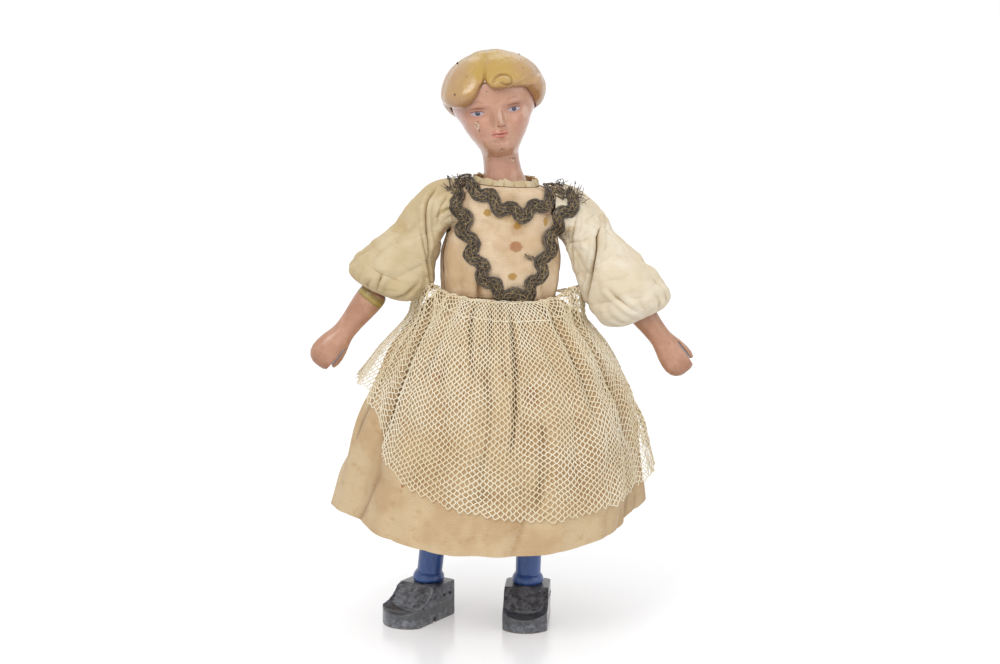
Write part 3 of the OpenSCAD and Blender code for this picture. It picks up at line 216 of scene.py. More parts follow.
def crumple(u, v, seed, size):
    """Soft random creases over a flat cloth, from -1 to 1, about size across."""
    draw = np.random.default_rng(seed)
    total, count = 0, 9
    for _ in range(count):
        way = draw.uniform(0, math.pi)
        pitch = size * draw.uniform(0.6, 1.7)
        phase, bend = draw.uniform(0, 2 * math.pi, 2)
        along = (u * math.cos(way) + v * math.sin(way)) / pitch
        across = (v * math.cos(way) - u * math.sin(way)) / pitch
        total = total + np.sin(2 * math.pi * along + phase + 1.3 * np.sin(2.1 * across + bend))
    return total / count * 1.8


def creases(u, v, seed, size):
    """Creases with sharp bottoms, 0 where the cloth is flat and 1 in a crease."""
    return np.clip(1 - 2.2 * np.abs(crumple(u, v, seed, size)), 0, 1) ** 1.5


def furrow(away, wide, lips, apart):
    """A sharp fold, 1 on its line, with a lip on either side."""
    return (np.exp(-(away / wide) ** 2)
            - lips * np.exp(-((np.abs(away) - apart * wide) / wide) ** 2))


def ripples(f, count, sway, bends):
    """Waves round the doll, f in degrees, unevenly spaced."""
    return np.cos(np.radians(f * count) + sway * np.sin(np.radians(f * bends)))


# Places

def moved(x, y, z):
    return np.array(Matrix.Translation((x, y, z)))


def turned(axis, degrees):
    return np.array(Matrix.Rotation(math.radians(degrees), 4, axis))


def placed(points, place):
    return points @ place[:3, :3].T + place[:3, 3]


FIGURE = moved(STANCE_X, 0, SHOE_HEIGHT) @ turned("Y", LEAN) @ moved(0, 0, -SHOE_HEIGHT)
HEAD_PLACE = (FIGURE @ moved(0, 0, NECK_Z) @ turned("Y", -HEAD_TILT) @ turned("Z", HEAD_TURN))
SHOULDER = {side: FIGURE @ moved(side * SHOULDER_SPACING / 2, 0, SHOULDER_Z)
            @ turned("X", -ARM_SWING[side]) for side in SIDES}
ELBOW = {side: SHOULDER[side] @ turned("Y", -side * ARM_ANGLE[side])
         @ moved(0, 0, -UPPER_ARM) for side in SIDES}


# Meshes

def linked(name, data):
    """New object in the scene."""
    made = bpy.data.objects.new(name, data)
    bpy.context.scene.collection.objects.link(made)
    return made


def coated(made, finish):
    """The piece in one finish, shaded smooth."""
    made.data.materials.clear()
    made.data.materials.append(finish)
    made.data.polygons.foreach_set("use_smooth", [True] * len(made.data.polygons))
    return made


def grid(name, points, finish, marks, cut=None, keep=None, poles=()):
    """Mesh through rings of points, in millimetres, each of which ends on its first point.
    marks are its point values for the finish, cut is its flat pattern, keep says which points
    stay, and poles are the rows that a point closes."""
    rows, columns = points.shape[:2]
    stride = columns - 1
    i, j = np.meshgrid(np.arange(rows - 1), np.arange(columns - 1), indexing="ij")
    if keep is not None:
        inside = keep[:-1, :-1] & keep[1:, :-1] & keep[:-1, 1:] & keep[1:, 1:]
        i, j = i[inside], j[inside]
    i, j = i.ravel(), j.ravel()
    k = (j + 1) % stride
    quads = np.stack([i * stride + j, i * stride + k,
                      (i + 1) * stride + k, (i + 1) * stride + j], 1)
    used, quads = np.unique(quads, return_inverse=True)
    quads = quads.reshape(-1, 4)
    corners = points[:, :stride].reshape(-1, 3)[used]
    faces = quads.tolist()
    ends = []
    for row in poles:
        middle = points[row, :stride].mean(0)
        ends.append(middle)
        hub = len(corners) + len(ends) - 1
        ring = [row % rows * stride + n for n in range(stride)]
        for n in range(stride):
            pair = (ring[n], ring[(n + 1) % stride])
            faces.append((hub, *pair) if row else (hub, *pair[::-1]))
    if ends:
        corners = np.vstack([corners, ends])
    mesh = bpy.data.meshes.new(name)
    mesh.from_pydata((corners * MM).tolist(), [], faces)
    if cut is not None:
        layer = mesh.uv_layers.new(name="cut")
        flat = np.stack([cut[i, j], cut[i, j + 1], cut[i + 1, j + 1], cut[i + 1, j]], 1)
        flat = flat.reshape(-1, 2)
        spare = len(mesh.loops) - len(flat)
        flat = np.vstack([flat, np.zeros((spare, 2))])
        layer.data.foreach_set("uv", flat.ravel().astype(np.float32))
    for mark, values in marks.items():
        vector = values.ndim == 3
        wide = values[:, :stride].reshape(-1, values.shape[2] if vector else 1)[used]
        wide = np.vstack([wide, np.repeat(wide[-1:], len(ends), 0)])
        kept = mesh.attributes.new(mark, "FLOAT_VECTOR" if vector else "FLOAT", "POINT")
        kept.data.foreach_set("vector" if vector else "value", wide.ravel().astype(np.float32))
    mesh.validate()
    return coated(linked(name, mesh), finish)


def applied(made):
    """The piece with its modifiers in its mesh."""
    seen = made.evaluated_get(bpy.context.evaluated_depsgraph_get())
    mesh = bpy.data.meshes.new_from_object(seen)
    made.modifiers.clear()
    old = made.data
    made.data = mesh
    bpy.data.meshes.remove(old)
    mesh.name = made.name
    return made


def thickened(made, thickness):
    """The cloth with a wall on its inner side, sharp only at its borders."""
    wall = made.modifiers.new("thickness", "SOLIDIFY")
    wall.thickness, wall.offset = thickness * MM, -1
    wall.use_quality_normals = True
    applied(made).data.set_sharp_from_angle(angle=math.radians(SHARP))
    return made


def joined(name, parts):
    """One piece from several."""
    whole = bmesh.new()
    for part in parts:
        whole.from_mesh(part.data)
    mesh = bpy.data.meshes.new(name)
    whole.to_mesh(mesh)
    whole.free()
    made = coated(linked(name, mesh), parts[0].data.materials[0])
    for part in parts:
        bpy.data.objects.remove(part)
    return made


def softened(node, name, finish, fill):
    """Copy of a carved solid with its edges worn round, and a hollow filled between points."""
    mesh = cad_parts[node].data.copy()
    whole = bmesh.new()
    whole.from_mesh(mesh)
    bmesh.ops.remove_doubles(whole, verts=whole.verts, dist=1e-6)
    if len(fill):
        bmesh.ops.convex_hull(whole, input=[whole.verts.new(point) for point in fill * MM])
    whole.to_mesh(mesh)
    whole.free()
    made = linked(name, mesh)
    fine = made.modifiers.new("fine", "REMESH")
    fine.mode, fine.voxel_size, fine.use_smooth_shade = "VOXEL", VOXEL * MM, True
    worn = made.modifiers.new("worn", "SMOOTH")
    worn.factor, worn.iterations = 0.5, 6
    return coated(applied(made), finish)


def cord_tree():
    """Round cords along the edges of a mesh."""
    tree = bpy.data.node_groups.new("cords", "GeometryNodeTree")
    sockets = {}
    for name, kind in (("Paths", "Geometry"), ("Radius", "Float"), ("Sides", "Int"),
                       ("Ends", "Bool"), ("Finish", "Material")):
        sockets[name] = tree.interface.new_socket(
            name, in_out="INPUT", socket_type="NodeSocket" + kind).identifier
    tree.interface.new_socket("Cords", in_out="OUTPUT", socket_type="NodeSocketGeometry")

    def node(kind, **links):
        made = tree.nodes.new(kind)
        for key, value in links.items():
            tree.links.new(value, made.inputs[key.replace("_", " ")])
        return made

    given = tree.nodes.new("NodeGroupInput").outputs
    curve = node("GeometryNodeMeshToCurve", Mesh=given["Paths"])
    ring = node("GeometryNodeCurvePrimitiveCircle", Resolution=given["Sides"],
                Radius=given["Radius"])
    tube = node("GeometryNodeCurveToMesh", Curve=curve.outputs[0],
                Profile_Curve=ring.outputs["Curve"], Fill_Caps=given["Ends"])
    smooth = node("GeometryNodeSetShadeSmooth", Geometry=tube.outputs[0])
    real = node("GeometryNodeRealizeInstances", Geometry=smooth.outputs[0])
    painted = node("GeometryNodeSetMaterial", Geometry=real.outputs[0],
                   Material=given["Finish"])
    node("NodeGroupOutput", Cords=painted.outputs[0])
    return tree, sockets


CORD_TREE, CORD_SOCKETS = cord_tree()


def corded(name, points, edges, radius, finish, sides, ends=True, marks=None):
    """Cords of one radius along the edges between points, all in millimetres."""
    mesh = bpy.data.meshes.new(name)
    mesh.from_pydata((np.asarray(points) * MM).tolist(), np.asarray(edges).tolist(), [])
    for mark, values in (marks or {}).items():
        kept = mesh.attributes.new(mark, "FLOAT", "POINT")
        kept.data.foreach_set("value", np.asarray(values, np.float32))
    made = linked(name, mesh)
    maker = made.modifiers.new("cords", "NODES")
    maker.node_group = CORD_TREE
    for key, value in (("Radius", radius * MM), ("Sides", sides), ("Ends", ends),
                       ("Finish", finish)):
        maker[CORD_SOCKETS[key]] = value
    return applied(made)


def lines(paths):
    """Points and edges of several open lines."""
    points = np.vstack(paths)
    edges, start = [], 0
    for path in paths:
        edges += [(start + n, start + n + 1) for n in range(len(path) - 1)]
        start += len(path)
    return points, edges


# Finishes

def paint(red, green, blue):
    """Colour as it is seen, 0 to 255, for a shader."""
    def linear(c):
        c /= 255
        return c / 12.92 if c <= 0.04045 else ((c + 0.055) / 1.055) ** 2.4
    return (linear(red), linear(green), linear(blue), 1)


class Shade:
    """One value in a finish. Sums on it add the nodes."""

    def __init__(self, tree, socket=None):
        self.tree, self.socket = tree, socket

    def node(self, kind, settings, inputs=None, output=0):
        made = self.tree.nodes.new("ShaderNode" + kind)
        for key, value in settings.items():
            setattr(made, key, value)
        for key, value in (inputs or {}).items():
            feed(self.tree, made.inputs[key], value)
        return Shade(self.tree, made.outputs[output])

    def maths(self, operation, *values):
        return self.node("Math", {"operation": operation}, dict(enumerate(values)))

    def __add__(self, other):
        return self.maths("ADD", self, other)

    def __mul__(self, other):
        return self.maths("MULTIPLY", self, other)

    def __sub__(self, other):
        return self.maths("SUBTRACT", self, other)

    def __rsub__(self, other):
        return self.maths("SUBTRACT", other, self)

    def __truediv__(self, other):
        return self.maths("DIVIDE", self, other)

    def __pow__(self, other):
        return self.maths("POWER", self, other)

    __radd__, __rmul__ = __add__, __mul__

    def size(self):
        return self.maths("ABSOLUTE", self)

    def larger(self, other):
        return self.maths("MAXIMUM", self, other)

    def step(self, low, high):
        """0 at low and 1 at high, either way round."""
        return self.node("MapRange", {"interpolation_type": "SMOOTHSTEP"},
                         {"Value": self, "From Min": low, "From Max": high})

    def mix(self, start, end):
        """Colour from start, where this value is 0, to end, where it is 1."""
        return self.node("Mix", {"data_type": "RGBA", "clamp_factor": True},
                         {0: self, 6: start, 7: end}, 2)

    def part(self, axis):
        return self.node("SeparateXYZ", {}, {0: self}, axis)

    def stretched(self, x, y, z):
        return self.node("VectorMath", {"operation": "MULTIPLY"}, {0: self, 1: (x, y, z)})

    def noise(self, scale, detail, roughness=0.5):
        return self.node("TexNoise", {}, {"Vector": self, "Scale": scale, "Detail": detail,
                                          "Roughness": roughness})

    def cells(self, scale):
        return self.node("TexVoronoi", {}, {"Vector": self, "Scale": scale})

    def wave(self, pitch):
        """Soft ridges of that pitch along this value."""
        return self.maths("SINE", self * (2 * math.pi / pitch)) * 0.5 + 0.5


def feed(tree, socket, value):
    if isinstance(value, Shade):
        tree.links.new(value.socket, socket)
    else:
        socket.default_value = value


class Finish:
    """A material whose sockets are fed by name."""

    def __init__(self, name):
        self.material = bpy.data.materials.new(name)
        self.material.use_nodes = True
        self.tree = self.material.node_tree
        self.shader = self.tree.nodes["Principled BSDF"]
        self.start = Shade(self.tree)

    def place(self):
        """Object coordinates in millimetres."""
        return self.start.node("TexCoord", {}, {}, 3).stretched(1000, 1000, 1000)

    def cut(self):
        """Place on the flat cloth in millimetres."""
        return self.start.node("UVMap", {"uv_map": "cut"})

    def mark(self, name, output=2):
        """A point value of the piece."""
        return self.start.node("Attribute", {"attribute_name": name}, {}, output)

    def bump(self, height, distance, strength):
        """Surface relief, height 0 to 1 over distance in millimetres."""
        relief = self.start.node("Bump", {}, {"Height": height, "Distance": distance * MM,
                                              "Strength": strength})
        feed(self.tree, self.shader.inputs["Normal"], relief)

    def set(self, **values):
        for key, value in values.items():
            feed(self.tree, self.shader.inputs[key.replace("_", " ")], value)
        return self

    def varnished(self, colour, rough, coat, coat_rough):
        """The material as paint under a coat of varnish."""
        return self.set(Base_Color=colour, Roughness=rough, Coat_Weight=coat,
                        Coat_Roughness=coat_rough).material


def over(colour, *layers):
    """The colour under further ones, each given as how much of it shows and its colour."""
    for amount, top in layers:
        colour = amount.mix(colour, top)
    return colour


def oval(x, z, middle_x, middle_z, wide, high, soft):
    """1 inside an oval on the face, 0 outside."""
    across = (x - middle_x) / wide
    up = (z - middle_z) / high
    return (across * across + up * up).step(1 + soft, max(1 - soft, 0))


# Pitch of the cotton's threads, in mm
WEAVE = 0.62


def muslin_finish(name, tint, blotches, spots):
    """Old cotton, with its weave and stains, and painted shade in its hollows and between its
    threads.
    """
    finish = Finish(name)
    cut = finish.cut()
    u, v = cut.part(0), cut.part(1)
    slub = cut.stretched(0.15, 1.4, 1).noise(1.0, 3, 0.6)
    warp = cut.stretched(1.4, 0.15, 1).noise(1.0, 3, 0.6)
    threads = (v + slub * 0.5).wave(WEAVE) * 0.6 + (u + warp * 0.5).wave(WEAVE) * 0.4
    broad = cut.noise(0.045, 3, 0.6)
    middle = cut.stretched(1, 1.6, 1).noise(0.16, 4, 0.65)
    fine = cut.noise(1.1, 3, 0.6)
    light, shade, stain, hollow_shade = tint
    # Painted shade: the last colour of each cloth darkens the hollows of folds, creases and
    # gathers, and the gaps between threads
    colour = over(broad.step(0.38, 0.64).mix(light, shade),
                  (middle.step(0.52, 0.74) * blotches, stain),
                  (finish.mark("hollow").step(0.25, 1.0) * 0.75, hollow_shade),
                  ((1 - threads) * 0.16, hollow_shade), (fine.step(0.55, 0.8) * 0.22, stain))
    u, v = u + (fine - 0.5) * 1.6, v + (middle - 0.5) * 1.6
    colour = over(colour, *((oval(u, v, *place, 0.45) * strength, stained)
                            for *place, strength, stained in spots))
    finish.bump(threads * 0.55 + fine * 0.35 + slub * 0.4, 0.22, 0.7)
    return finish.set(Base_Color=colour, Roughness=0.92, Specular_IOR_Level=0.2,
                      Sheen_Weight=0.15).material


# Light, shade, stain, and the painted shade for hollows, creases and the gaps between threads, of
# each cloth
CREAM = (paint(242, 232, 212), paint(232, 218, 190), paint(212, 182, 138), paint(164, 134, 92))
TAN = (paint(218, 194, 156), paint(204, 174, 134), paint(184, 142, 96), paint(128, 94, 58))
OLD = (paint(222, 204, 170), paint(208, 188, 148), paint(186, 160, 104), paint(142, 114, 68))
LINING = (paint(232, 208, 176), paint(210, 180, 142), paint(192, 152, 108), paint(138, 102, 66))
OCHRE, RUST = paint(176, 134, 58), paint(160, 92, 44)
SEAM = paint(88, 52, 38)
# Stains on the bodice: place on the flat cloth, width, height, strength
BODICE_SPOTS = [(-8.2, 35.4, 1.5, 1.5, 0.85, OCHRE), (16.4, 32.4, 1.3, 1.7, 0.85, OCHRE),
                (3.7, 30.8, 1.5, 1.5, 0.85, OCHRE), (2.4, 10.1, 1.6, 1.6, 0.85, OCHRE),
                (3.3, 22.3, 2.4, 2.2, 0.7, RUST), (-1.5, 23.0, 4.0, 3.0, 0.16, RUST),
                (3.5, 29.0, 2.6, 2.6, 0.2, RUST), (0.0, 34.5, 7.0, 2.4, 0.22, OCHRE),
                (-29.0, 12.0, 0.7, 13.0, 0.85, SEAM), (29.0, 12.0, 0.6, 12.0, 0.45, SEAM),
                (-9.6, 8.0, 0.45, 6.0, 0.55, SEAM), (14.0, 8.0, 0.4, 6.0, 0.35, SEAM)]

BLACK_THREAD = paint(46, 34, 28)
SKIRT_SPOTS = [(x, y, 0.3, 0.55, 0.9, BLACK_THREAD) for x, y in (
    (-12.8, -15.0), (-2.3, -14.8), (-21.5, -15.0), (-10.2, -16.0), (-7.0, -15.6), (-17.6, -14.2),
    (-13.6, -22.0), (-1.9, -24.0), (-1.2, -31.0))]
SKIRT_SPOTS += [(8.0, -31.0, 3.0, 3.6, 0.4, RUST), (-30.0, -24.0, 4.0, 5.0, 0.2, RUST),
                (46.0, -52.0, 4.0, 3.0, 0.2, RUST), (-42.0, -66.0, 0.7, 0.7, 0.7, RUST)]
OLIVE = paint(166, 144, 78)
# The same for each sleeve, where the right sleeve's first mark is a long, thin olive streak
SLEEVE_SPOTS = {RIGHT: [(45.5, -9.0, 1.3, 9.0, 0.5, OLIVE), (52.0, -4.0, 4.0, 2.4, 0.25, RUST),
                        (56.0, -21.0, 2.2, 6.0, 0.35, RUST), (30.0, -30.0, 5.0, 3.0, 0.2, OCHRE)],
                LEFT: [(57.5, -19.5, 2.6, 1.8, 0.6, RUST), (54.0, -24.0, 3.0, 2.0, 0.4, OCHRE),
                       (38.0, -12.0, 1.6, 6.0, 0.25, OCHRE), (31.0, -31.0, 4.0, 3.0, 0.22, OCHRE)]}


def net_finish():
    finish = Finish("net")
    place = finish.place()
    tone = place.noise(0.05, 3).step(0.35, 0.65)
    colour = over(tone.mix(paint(250, 242, 220), paint(240, 226, 194)),
                  (place.noise(0.3, 3).step(0.5, 0.8) * 0.3, paint(222, 196, 150)))
    finish.bump(place.noise(3.0, 3), 0.1, 0.6)
    return finish.set(Base_Color=colour, Roughness=0.95, Specular_IOR_Level=0.15).material


def gimp_finish(name, dark, pale):
    finish = Finish(name)
    place = finish.place()
    along = finish.mark("along")
    twist = (along + place.noise(0.9, 2) * 0.5).wave(0.75)
    tone = place.noise(0.35, 4, 0.7).step(0.35, 0.7)
    # Paler on the crests of the twist and darker in its grooves is painted light and shade; on the
    # gold thread the pale colour stands in for glints of light, a painted highlight
    colour = (tone * 0.7 + twist * 0.3).mix(dark, pale)
    finish.bump(twist * 0.7 + place.noise(5.0, 2) * 0.5, 0.18, 0.8)
    return finish.set(Base_Color=colour, Roughness=0.6, Specular_IOR_Level=0.45).material


def wood_finish():
    finish = Finish("bare_wood")
    place = finish.place()
    grain = place.stretched(1, 1, 0.08).noise(1.2, 4, 0.6)
    pores = place.stretched(4, 4, 0.3).noise(1.6, 2, 0.6)
    colour = over(grain.step(0.3, 0.7).mix(paint(214, 176, 128), paint(176, 130, 84)),
                  (pores.step(0.6, 0.75) * 0.5, paint(120, 84, 52)),
                  (place.noise(0.08, 3).step(0.55, 0.8) * 0.5, paint(140, 104, 70)))
    finish.bump(grain * 0.6 + pores * 0.4, 0.15, 0.6)
    rough = place.noise(0.5, 2).step(0, 1) * 0.2 + 0.55
    return finish.set(Base_Color=colour, Roughness=rough).material


def flesh_colour(where):
    tone = where.noise(0.12, 4, 0.6).step(0.3, 0.7)
    return over(tone.mix(paint(203, 155, 130), paint(182, 134, 104)),
                (where.noise(0.5, 4, 0.7).step(0.5, 0.8) * 0.35, paint(166, 112, 82)),
                (where.noise(0.8, 3, 0.7).step(0.6, 0.8) * 0.3, paint(226, 188, 170)))


# Middle of each eye across the face, and how its lid slopes
EYES = ((-7.7, -0.02), (5.2, 0.05))
# Chips in the face's paint: place across and up, width, height
CHIPS = ((-8.2, 25.6, 0.9, 1.3), (-8.0, 23.6, 0.4, 0.8), (-3.9, 36.8, 0.5, 0.5),
         (-0.9, 15.9, 0.7, 0.35), (2.2, 12.1, 0.35, 0.3), (3.5, 11.1, 0.8, 0.45))


def eye_layers(x, z, front, middle, slope):
    """Painted shade in the socket, then the white, iris, lid's line, lid's fold and brow of one
    eye.
    """
    across = (x - middle) / 2.4
    bow = 1 - across * across
    lid = z - 29.85 - (bow * 0.55 + (x - middle) * slope)
    inside = across.size().step(1.06, 0.9) * front
    white = lid.step(0.12, -0.12) * (z - 29.55 + bow * 0.75).step(-0.15, 0.25)
    iris = oval(x, z, middle + 0.1, 29.8, 0.88, 0.86, 0.25) * lid.step(0.1, -0.1)
    # Painted shade in the eye's socket comes first
    return [(oval(x, z, middle, 30.4, 4.6, 2.4, 0.8) * front * 0.4, paint(158, 100, 76)),
            (white * inside * 0.7, paint(170, 172, 190)), (iris * front, paint(20, 26, 58)),
            ((lid - 0.1).size().step(0.36, 0.1) * inside * 0.85, paint(112, 56, 44)),
            ((lid - 1.1).size().step(0.7, 0.1) * inside * 0.5, paint(146, 88, 68)),
            ((z - 33.2 - bow * 0.8).size().step(0.7, 0.05) * inside * 0.35, paint(150, 96, 70))]


def mouth_layers(x, z, front):
    """Lips and the line between them."""
    lip = (1 - ((x + 0.9) / 3.0) ** 2).larger(0)
    upper = (z - 22.3 - lip * 0.15).step(0.75, 0.35) * (z - 21.6).step(-0.12, 0.1)
    lower = (z - 21.6).step(0.1, -0.12) * (z - 21.1 + lip * 0.75).step(-0.2, 0.15)
    mouth = (x + 0.9).size().step(3.2, 2.5) * front
    return [((upper * 0.55 + lower * 0.65) * mouth, paint(198, 104, 90)),
            ((z - 21.62).size().step(0.26, 0.03) * mouth * 0.8, paint(118, 56, 46))]


def face_finish():
    """Painted face, in millimetres across and up from the neck's seat."""
    finish = Finish("face_paint")
    local = finish.mark("local", 1)
    x, y, z = (local.part(axis) for axis in range(3))
    front = y.step(2, -4)
    cheeks = oval(x, z, -8.5, 24.5, 4.5, 5.0, 0.9) + oval(x, z, 8.0, 24.5, 4.2, 5.0, 0.9)
    # Painted rim light: a pale pink band down both sides of the face
    rim_light = (x.size() + local.noise(0.3, 3) * 3).step(12.5, 15.5) * z.step(20, 26)
    layers = [(cheeks * front * 0.35, paint(196, 124, 98)),
              (oval(x, z, -1, 36, 9, 4.5, 0.9) * front * 0.25, paint(198, 146, 120)),
              (rim_light * 0.5, paint(222, 184, 182)),
              # Painted shade on the neck under the chin
              (z.step(13.5, 11.5) * z.step(6, 9) * 0.35, paint(158, 104, 78))]
    for middle, slope in EYES:
        layers += eye_layers(x, z, front, middle, slope)
    layers += mouth_layers(x, z, front)
    shade = oval(x, z, -0.9, 19.4, 3.0, 0.9, 0.8) + oval(x, z, -2.9, 27.2, 1.0, 2.6, 0.9)
    # Painted highlights on the ridge of the nose and on the cheek
    shine = oval(x, z, -0.4, 27.8, 0.6, 1.9, 0.8) + oval(x, z, 9.4, 28.0, 1.3, 2.2, 0.9)
    layers += [(shade * front * 0.4, paint(150, 98, 72)),
               (shine * front * 0.4, paint(244, 214, 196))]
    layers += [(oval(x, z, side * 0.95 - 0.1, 24.55, 0.5, 0.28, 0.4) * front * 0.8,
                paint(120, 62, 48)) for side in SIDES]
    rough = local.noise(1.6, 4, 0.7)
    chips = sum(oval(x + (rough - 0.5) * 2, z + (rough - 0.5) * 2.4, *chip, 0.3)
                for chip in CHIPS)
    chipped = (chips * front).step(0.2, 0.6)
    layers += [(chipped * rough.step(0.46, 0.52) * 0.8, paint(222, 196, 170)),
               (chipped * rough.step(0.52, 0.46) * 0.9, paint(124, 60, 42)),
               (z.step(1.2, -0.4) * 0.6, paint(170, 112, 88))]
    relief = local.noise(0.45, 4, 0.6) * 0.9 + local.noise(3.0, 3) * 0.25 - chipped * 0.5
    finish.bump(relief, 0.35, 0.6)
    return finish.varnished(over(flesh_colour(local), *layers),
                            local.noise(0.8, 3) * 0.16 + 0.2 + chipped * 0.4, 0.45, 0.12)


def hair_finish():
    finish = Finish("hair_paint")
    local = finish.mark("local", 1)
    x, z = local.part(0), local.part(2)
    middle = x.size().step(14, 4) * 0.8 + local.noise(0.14, 4, 0.6).step(0.35, 0.65) * 0.5 - 0.12
    pale = local.noise(0.22, 4, 0.65).step(0.55, 0.75) * z.step(30, 40)
    specks = local.cells(0.28).step(0.16, 0.1) * local.noise(0.2, 2).step(0.52, 0.6)
    colour = over(middle.mix(paint(184, 144, 102), paint(188, 152, 70)),
                  (pale * 0.35, paint(226, 196, 142)),
                  # Painted shade in the carved grooves, and under the lower edge of the hair where
                  # it rolls over the skin
                  (finish.mark("hollow").step(0.1, 1.0) * 0.8, paint(138, 98, 44)),
                  (finish.mark("edge").step(0.22, 0.0) * 0.65, paint(158, 108, 66)),
                  (specks, paint(110, 76, 40)))
    finish.bump(finish.mark("strands") * 0.5 + local.noise(0.5, 4, 0.6) * 1.1, 0.4, 0.6)
    return finish.varnished(colour, local.noise(0.7, 3) * 0.15 + 0.2, 0.5, 0.1)


def hand_finish(side):
    """Painted flesh with a gilt armband, worn to the wood at the fingertips."""
    finish = Finish(SIDES[side] + "_hand_paint")
    place = finish.place()
    origin, way = ELBOW[side][:3, 3], ELBOW[side][:3, 2]
    down = float(origin @ way) - place.node("VectorMath", {"operation": "DOT_PRODUCT"},
                                            {0: place, 1: tuple(way)}, 1)
    worn, brush = place.noise(0.5, 4, 0.75), place.noise(0.9, 3)
    band = (down + brush * 0.9 - 8.8).size().step(1.7, 1.4)
    stripe = (down + brush * 0.8 - 9.1).size().step(0.7, 0.45)
    colour = over(flesh_colour(place),
                  (place.noise(0.2, 3).step(0.35, 0.7) * 0.5 + 0.1, paint(164, 116, 88)),
                  ((down + worn * 8).step(38, 44) * 0.65, paint(156, 106, 76)),
                  (worn.step(0.66, 0.74) * 0.5, paint(142, 92, 66)),
                  (band, paint(146, 122, 62)),
                  (stripe * band * (worn.step(0.3, 0.5) * 0.6 + 0.2), paint(176, 150, 74)))
    finish.bump(place.noise(0.7, 4) * 0.7 + place.noise(3.0, 2) * 0.2 + band * 0.25, 0.3, 0.5)
    return finish.varnished(colour, place.noise(0.8, 3) * 0.2 + 0.28, 0.3, 0.15)


def stocking_finish():
    finish = Finish("stocking_paint")
    place = finish.place()
    drift = place.stretched(1, 1, 0.25).noise(0.4, 4, 0.6)
    worn = place.stretched(1, 1, 0.5).noise(0.9, 5, 0.75)
    colour = over(drift.step(0.3, 0.7).mix(paint(58, 96, 164), paint(40, 72, 136)),
                  (worn.step(0.66, 0.72) * 0.8, paint(150, 156, 168)),
                  (worn.step(0.3, 0.24) * 0.7, paint(26, 40, 78)))
    finish.bump(place.noise(0.8, 4) * 0.7 + worn * 0.4, 0.25, 0.5)
    return finish.varnished(colour, place.noise(0.7, 3) * 0.2 + 0.25, 0.3, 0.15)


def shoe_finish():
    finish = Finish("shoe_paint")
    place = finish.place()
    z = place.part(2)
    worn = place.noise(0.45, 5, 0.75)
    grain = place.stretched(0.5, 0.5, 3).noise(0.9, 4, 0.65)
    toe = (z + worn * 1.2).step(7.6, 6.4) * (z - worn * 2.0).step(1.6, 2.6)
    edge = (worn + place.noise(2.2, 3) * 0.3).step(0.82, 0.9)
    colour = over(worn.step(0.35, 0.7).mix(paint(64, 66, 73), paint(132, 135, 144)),
                  (grain.step(0.54, 0.7) * 0.6, paint(160, 160, 165)),
                  (toe * 0.62, paint(40, 40, 44)), (edge * 0.8, paint(168, 150, 124)),
                  (z.step(0.5, 0.1) * 0.7, paint(150, 120, 88)))
    finish.bump(grain * 0.5 + worn * 0.5, 0.35, 0.6)
    return finish.varnished(colour, worn * 0.4 + 0.14, toe * 0.4 + 0.35, 0.15)


def iron_finish():
    finish = Finish("iron")
    place = finish.place()
    rust = place.noise(1.5, 4, 0.7)
    colour = rust.step(0.45, 0.65).mix(paint(70, 66, 70), paint(96, 62, 44))
    finish.bump(rust, 0.1, 0.5)
    return finish.set(Base_Color=colour, Roughness=rust * 0.3 + 0.35, Metallic=0.7).material


# Studio

def aimed(name, data, place, way):
    """Camera or lamp at a place, looking one way."""
    made = linked(name, data)
    made.location = place
    made.rotation_mode = "QUATERNION"
    made.rotation_quaternion = way.to_track_quat("-Z", "Y")
    return made


def camera_and_lights():
    scene = bpy.context.scene
    azimuth, elevation, distance = math.radians(-7), math.radians(11), 0.95
    back = Vector((math.sin(azimuth) * math.cos(elevation),
                   -math.cos(azimuth) * math.cos(elevation), math.sin(elevation)))
    target = Vector((-0.0005, 0, 0.1075))
    data = bpy.data.cameras.new("camera")
    data.lens = 94.3
    data.sensor_width = 36
    scene.camera = aimed("camera", data, target + back * distance, -back)
    for name, place, size, power in (("key", (-0.6, -0.9, 1.0), 0.6, 7.0),
                                     ("fill", (0.9, -0.7, 0.6), 0.8, 2.4),
                                     ("back", (0.1, 0.9, 1.1), 0.9, 2.0)):
        light = bpy.data.lights.new(name, "AREA")
        light.size = size
        light.energy = power
        aimed(name, light, place, Vector((0, 0, 0.1)) - Vector(place))
    scene.view_settings.view_transform = "Standard"
    scene.world = studio_world()


def studio_world():
    """Even light that shows as white to the camera and in reflections."""
    world = bpy.data.worlds.new("studio")
    world.use_nodes = True
    tree = world.node_tree
    background = tree.nodes["Background"]
    background.inputs["Color"].default_value = (1, 1, 1, 1)
    seen = camera_rays(Shade(tree))
    feed(tree, background.inputs["Strength"], seen * 0.3 + 0.7)
    return world


def camera_rays(shade):
    """1 for rays that the camera or a reflection sees."""
    rays = [shade.node("LightPath", {}, {}, name)
            for name in ("Is Camera Ray", "Is Glossy Ray", "Is Transmission Ray")]
    return rays[0].larger(rays[1]).larger(rays[2])


def floor():
    mesh = bpy.data.meshes.new("floor")
    r = 3
    mesh.from_pydata([(-r, -r, 0), (r, -r, 0), (r, r, 0), (-r, r, 0)], [], [(0, 1, 2, 3)])
    made = linked("floor", mesh)
    finish = Finish("floor")
    seen = camera_rays(finish.start).mix(paint(0, 0, 0), paint(255, 255, 255))
    finish.set(Base_Color=(0.84, 0.84, 0.85, 1), Roughness=0.2, Specular_IOR_Level=0.4,
               Emission_Color=seen, Emission_Strength=0.27)
    mesh.materials.append(finish.material)


# Head and hair

